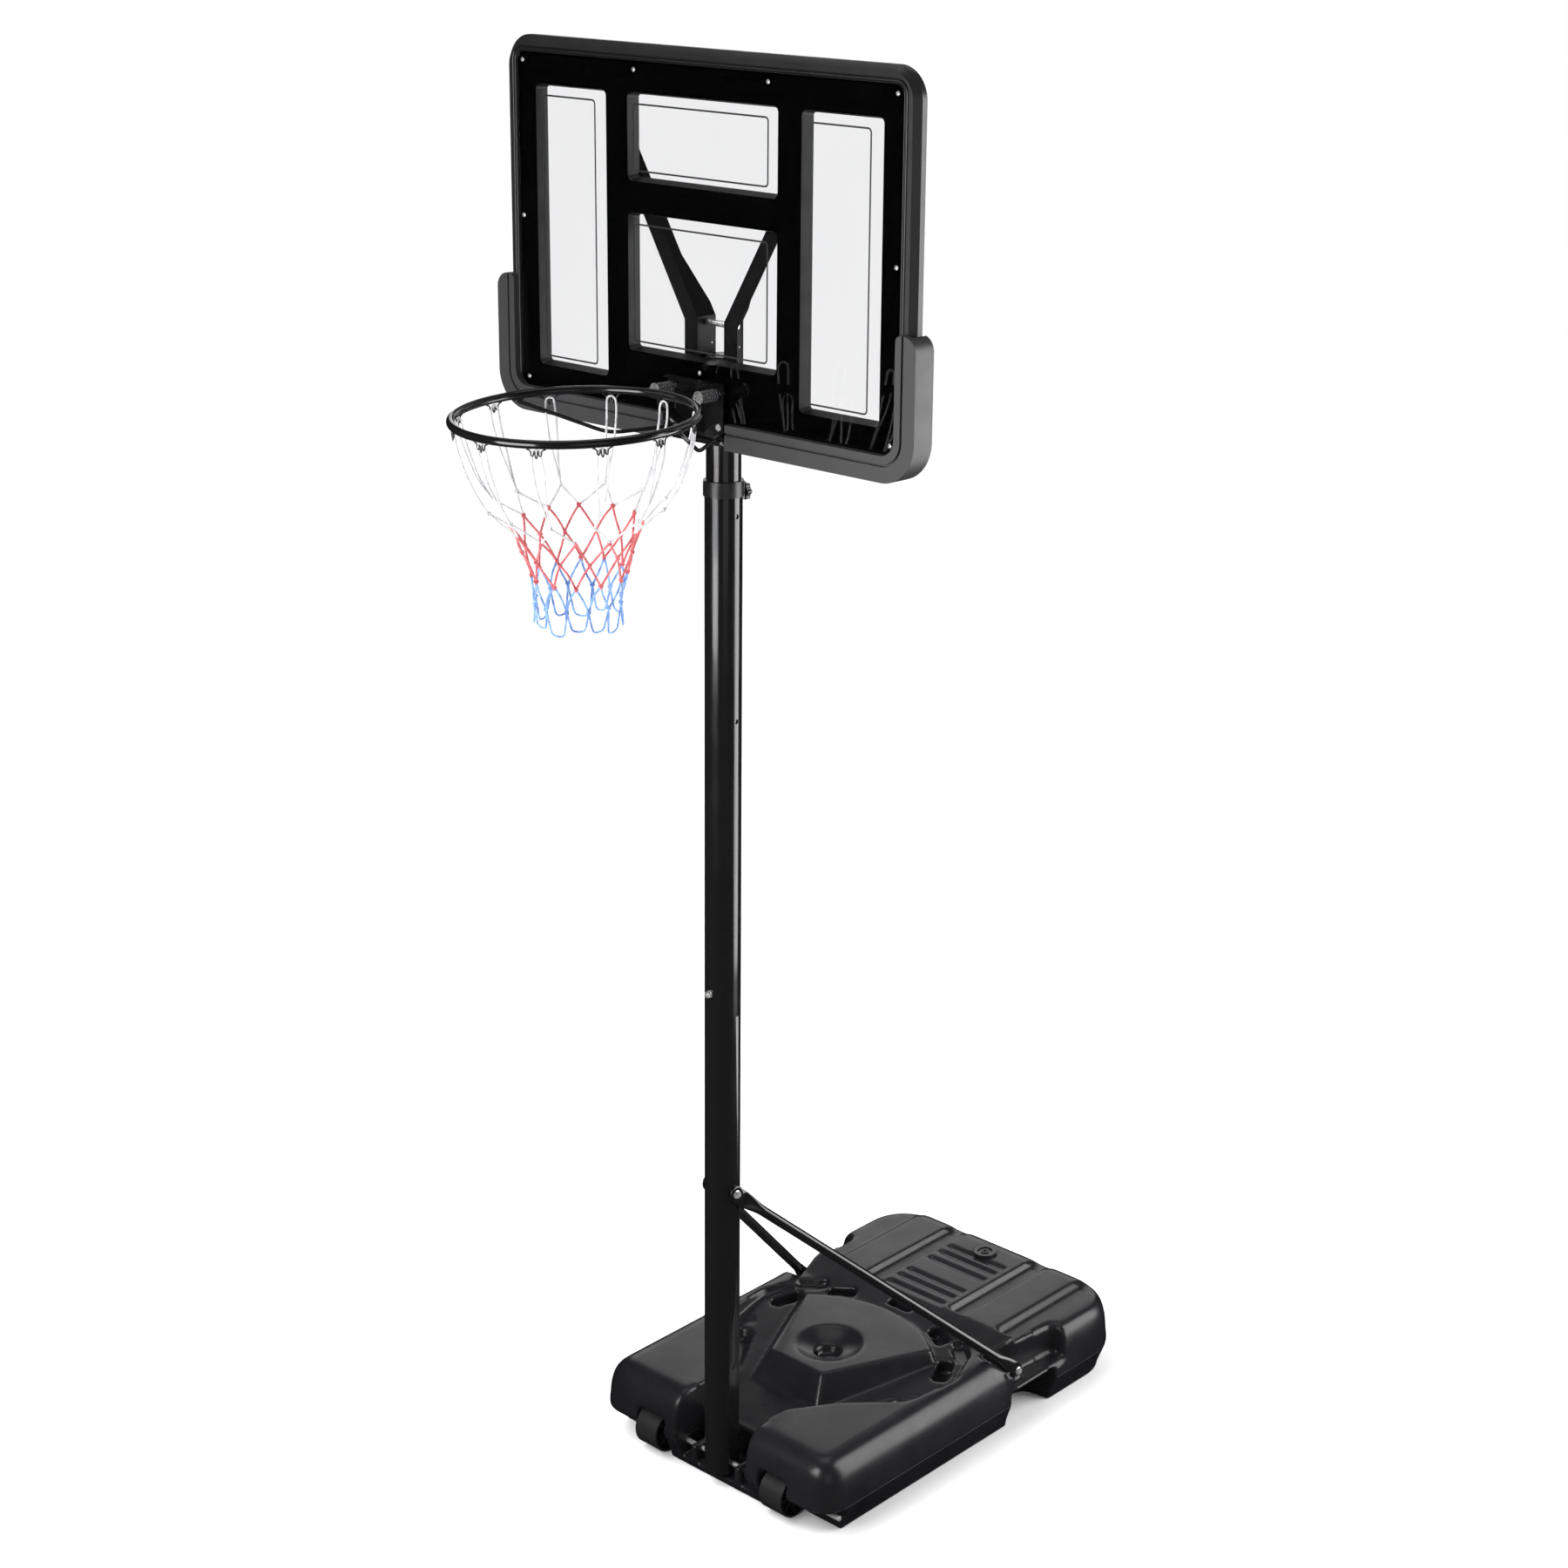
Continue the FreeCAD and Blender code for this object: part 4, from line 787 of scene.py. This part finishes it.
def strut_end(end, along, flat, ear):
    """Outlines from an ear's rounded tip to the full tube, as (centre, normal, wide, thick)."""
    out = []
    for i in range(10):
        s = -math.cos(0.5 * math.pi * i / 9)
        wide = max(ear * math.sqrt(max(0.0, 1.0 - s * s)), 0.002)
        out.append((end + flat * (ear * s), flat, wide, EAR_HALF_THICK))
    for i in range(19):
        t = i / 18
        ease = t * t * (3.0 - 2.0 * t)
        centre = (end + flat * EAR_FLAT).lerp(end + along * EAR_LENGTH, t)
        normal = flat.lerp(along, t).normalized()
        thick = EAR_HALF_THICK + (STRUT_R - EAR_HALF_THICK) * ease
        out.append((centre, normal, ear + (STRUT_R - ear) * ease, thick))
    return out


def struts():
    """Steel tubes with both ends pressed flat round their bolts."""
    for node, sign in (("strut_right", 1), ("strut_left", -1)):
        bm = bmesh.new()
        top = from_pole(sign * STRUT_TOP[0], STRUT_TOP[1], STRUT_TOP[2])
        foot = Vector((sign * STRUT_FOOT[0], STRUT_FOOT[1], STRUT_FOOT[2]))
        along = (foot - top).normalized()
        flat = Vector((0.0, along.y, along.z)).normalized()
        rings = strut_end(top, along, flat, TOP_EAR)
        rings += [(c, -n, w, t) for c, n, w, t in strut_end(foot, -along, -flat, FOOT_EAR)[::-1]]
        made = [squeezed_ring(bm, *ring) for ring in rings]
        bridge(bm, made)
        bm.faces.new(made[0][::-1])
        bm.faces.new(made[-1])
        bmesh.ops.recalc_face_normals(bm, faces=bm.faces)
        stand_in(mesh_piece(node + "_tube", bm, 50.0), node)


def flanges():
    """Flanged seats under the struts' bolt heads."""
    bm = bmesh.new()
    top = from_pole(*FLANGE_TOP)
    places = [(Vector((side * x, at[1], at[2])), side) for side in (1, -1)
              for x, at in zip(FLANGE_X, (top, STRUT_FOOT))]
    angles = [2.0 * math.pi * k / FLANGE_SIDES for k in range(FLANGE_SIDES)]
    for at, side in places:
        rings = [[bm.verts.new(at + Vector((side * h, r * math.cos(a), r * math.sin(a)))) for a in angles]
                 for r, h in FLANGE_PROFILE]
        bridge(bm, rings)
        bm.faces.new(rings[0])
        bm.faces.new(rings[-1])
    bmesh.ops.recalc_face_normals(bm, faces=bm.faces)
    add_on(mesh_piece("bolt_flanges", bm, 40.0), "strut_pole_bolt")


# ---------- board ----------
def darken_seat(frame_piece):
    """Gives the flat face behind the panel the darker copy of the frame plastic, which is painted shade."""
    frame_piece.data.materials.append(MATERIALS["frame_seat_shade"])
    for face in frame_piece.data.polygons:
        at = to_pole(face.center)
        within = abs(at.x) < PANEL_HALF + 1.0 and PANEL_Z0 - 1.0 < at.z < PANEL_Z1 + 1.0
        if within and SEAT_Y[0] < at.y < SEAT_Y[1]:
            face.material_index = 1


def clear_panel():
    """The sheet: glossy in front, with its back against the frame."""
    made = stand_in(mesh_piece("clear_panel", cad_bmesh("board_panel"), 30.0), "board_panel")
    made.data.materials.append(MATERIALS["pressed_sheet"])
    for face in made.data.polygons:
        face.use_smooth = False
        if to_pole(face.center).y > PANEL_BACK - 0.2:
            face.material_index = 1


def rounded_loop(half, z0, z1, radius, y, step=0.006):
    """Closed path round a rounded rectangle on the board's front."""
    corners = ((half, z0, -90.0), (half, z1, 0.0), (-half, z1, 90.0), (-half, z0, 180.0))
    points = []
    for x, z, start in corners:
        cx = x - math.copysign(radius, x)
        cz = z + radius if z == z0 else z - radius
        for i in range(13):
            a = math.radians(start + 90.0 * i / 12)
            points.append(from_pole(cx + radius * math.cos(a), y, cz + radius * math.sin(a)))
    out = []
    for a, b in zip(points, points[1:] + points[:1]):
        count = max(1, round((b - a).length / step))
        out += [a.lerp(b, i / count) for i in range(count)]
    return out


def frame_beads():
    """Fine raised lines round the panel's seat."""
    bm = bmesh.new()
    for grow, radius, wire in BEADS:
        path = rounded_loop(PANEL_HALF + grow, PANEL_Z0 - grow, PANEL_Z1 + grow, radius, BEAD_Y)
        sweep(bm, path, wire, 12, closed=True)
    add_on(mesh_piece("frame_beads", bm, 80.0), "board_frame", material="black_steel")


def outlines():
    """Printed rectangles, one inside each window."""
    bm = bmesh.new()
    for x0, x1, z0, z1 in WINDOWS:
        inset = 26.0 if x1 - x0 < NARROW_WINDOW else 20.0
        middle = Vector((0.5 * (x0 + x1) / 1000.0, 0.0, 0.0))
        edges = []
        for grow, y in LINE_SECTION:
            half = 0.5 * (x1 - x0) - inset + grow
            loop = rounded_loop(half, z0 + 20.0 - grow, z1 - 20.0 + grow, 9.0 + grow, y, step=0.5)
            edges.append([bm.verts.new(p + middle) for p in loop])
        bridge(bm, edges + edges[:1])
    bmesh.ops.recalc_face_normals(bm, faces=bm.faces)
    stand_in(mesh_piece("printed_outlines", bm, 30.0), "panel_outlines")


def screw_outline(bm, x, z, radii, y):
    """Points round a place on the board's front, one for each radius."""
    ring = []
    for k, r in enumerate(radii):
        a = 2.0 * math.pi * k / len(radii)
        ring.append(bm.verts.new(from_pole(x + r * math.cos(a), y, z + r * math.sin(a))))
    return ring


def panel_screws():
    """Pan-head screws with a cross recess."""
    bm = bmesh.new()
    # the recess reaches out along four arms, three points each
    recess = [1.75 if k % 6 in (0, 1, 5) else 0.75 for k in range(SCREW_SIDES)]
    for x, z in SCREWS:
        rings = [screw_outline(bm, x, z, [r] * SCREW_SIDES, SCREW_SEAT_Y - h) for r, h in SCREW_PROFILE]
        rings.append(screw_outline(bm, x, z, recess, RECESS_Y))
        bridge(bm, rings)
        bm.faces.new(rings[-1])
    bmesh.ops.recalc_face_normals(bm, faces=bm.faces)
    stand_in(mesh_piece("screw_heads", bm, 30.0), "panel_screws")


def small_parts():
    """Everything pressed, turned or moulded keeps its CAD form, with its edges broken."""
    for node, (width, segments) in EDGES.items():
        made = bevelled(node, width / 1000.0, segments)
        if node == "board_frame":
            darken_seat(made)
        if node in ("arm_right", "arm_left"):
            paint(made, "arm_paint")


# ---------- studio ----------
def place_camera():
    data = bpy.data.cameras.new("camera")
    data.lens = CAMERA_LENS
    data.sensor_width = CAMERA_SENSOR
    camera = bpy.data.objects.new("camera", data)
    bpy.context.scene.collection.objects.link(camera)
    turn = Matrix.Rotation(-LEAN, 4, "X") @ Matrix.Rotation(CAMERA_TURN, 4, "Z")
    tilt = Matrix.Rotation(math.pi / 2.0 - CAMERA_DOWN, 4, "X") @ Matrix.Rotation(CAMERA_ROLL, 4, "Z")
    camera.matrix_world = Matrix.Translation(CAMERA_AT) @ turn @ tilt
    data.clip_end = 300.0
    bpy.context.scene.camera = camera


def area_light(name, at, aim, size, power):
    data = bpy.data.lights.new(name, "AREA")
    data.shape = "RECTANGLE"
    data.size = size[0]
    data.size_y = size[1]
    data.energy = power
    light = bpy.data.objects.new(name, data)
    bpy.context.scene.collection.objects.link(light)
    light.location = at
    light.rotation_euler = (Vector(aim) - Vector(at)).to_track_quat("-Z", "Y").to_euler()
    light.visible_camera = False
    light.visible_transmission = False


def softbox(name, azimuth, distance, width, low, high, radiance):
    """Upright soft light between two heights, at an azimuth round the pole."""
    a = math.radians(azimuth)
    base = Vector((0.0, -0.40, 0.0))
    at = base + Vector((distance * math.cos(a), distance * math.sin(a), (low + high) * 0.5))
    aim = base + Vector((0.0, 0.0, (low + high) * 0.5))
    power = radiance * math.pi * width * (high - low)
    area_light(name, at, aim, (width, high - low), power)


def make_floor():
    bpy.ops.mesh.primitive_plane_add(size=200.0, location=(0.0, 0.0, -0.0005))
    floor = bpy.context.object
    floor.name = "studio_floor"
    p = Paint("studio_floor", (0.90, 0.90, 0.90), 0.9, spec=0.0)
    floor.data.materials.append(p.mat)
    floor.visible_glossy = False


def make_world():
    world = bpy.data.worlds.new("studio_world")
    world.use_nodes = True
    tree = world.node_tree
    back = tree.nodes["Background"]
    back.inputs["Color"].default_value = (1.0, 1.0, 1.0, 1.0)
    coords = tree.nodes.new("ShaderNodeTexCoord")
    split = tree.nodes.new("ShaderNodeSeparateXYZ")
    tree.links.new(coords.outputs["Generated"], split.inputs["Vector"])
    height = tree.nodes.new("ShaderNodeMapRange")
    height.interpolation_type = "SMOOTHSTEP"
    for socket, value in WORLD_FADE:
        height.inputs[socket].default_value = value
    tree.links.new(split.outputs["Z"], height.inputs["Value"])
    tree.links.new(height.outputs["Result"], back.inputs["Strength"])
    world.cycles_visibility.glossy = False
    bpy.context.scene.world = world


def make_studio():
    make_floor()
    make_world()
    sun = bpy.data.objects.new("key", bpy.data.lights.new("key", "SUN"))
    sun.data.energy = 2.6
    sun.data.angle = math.radians(42.0)
    sun.rotation_euler = SUN_FROM.to_track_quat("Z", "Y").to_euler()
    sun.visible_glossy = False
    bpy.context.scene.collection.objects.link(sun)
    for box in SOFTBOXES:
        softbox(*box)
    for panel in PANELS:
        area_light(*panel)
    bpy.context.scene.view_settings.view_transform = "Standard"


place_camera()
make_studio()
paint_cad_nodes()
bpy.context.view_layer.update()
tank_shell()
net_cords()
net_hooks()
rim_ring()
rim_welds()
rim_braces()
coil_springs()
clear_panel()
frame_beads()
outlines()
panel_screws()
struts()
flanges()
small_parts()
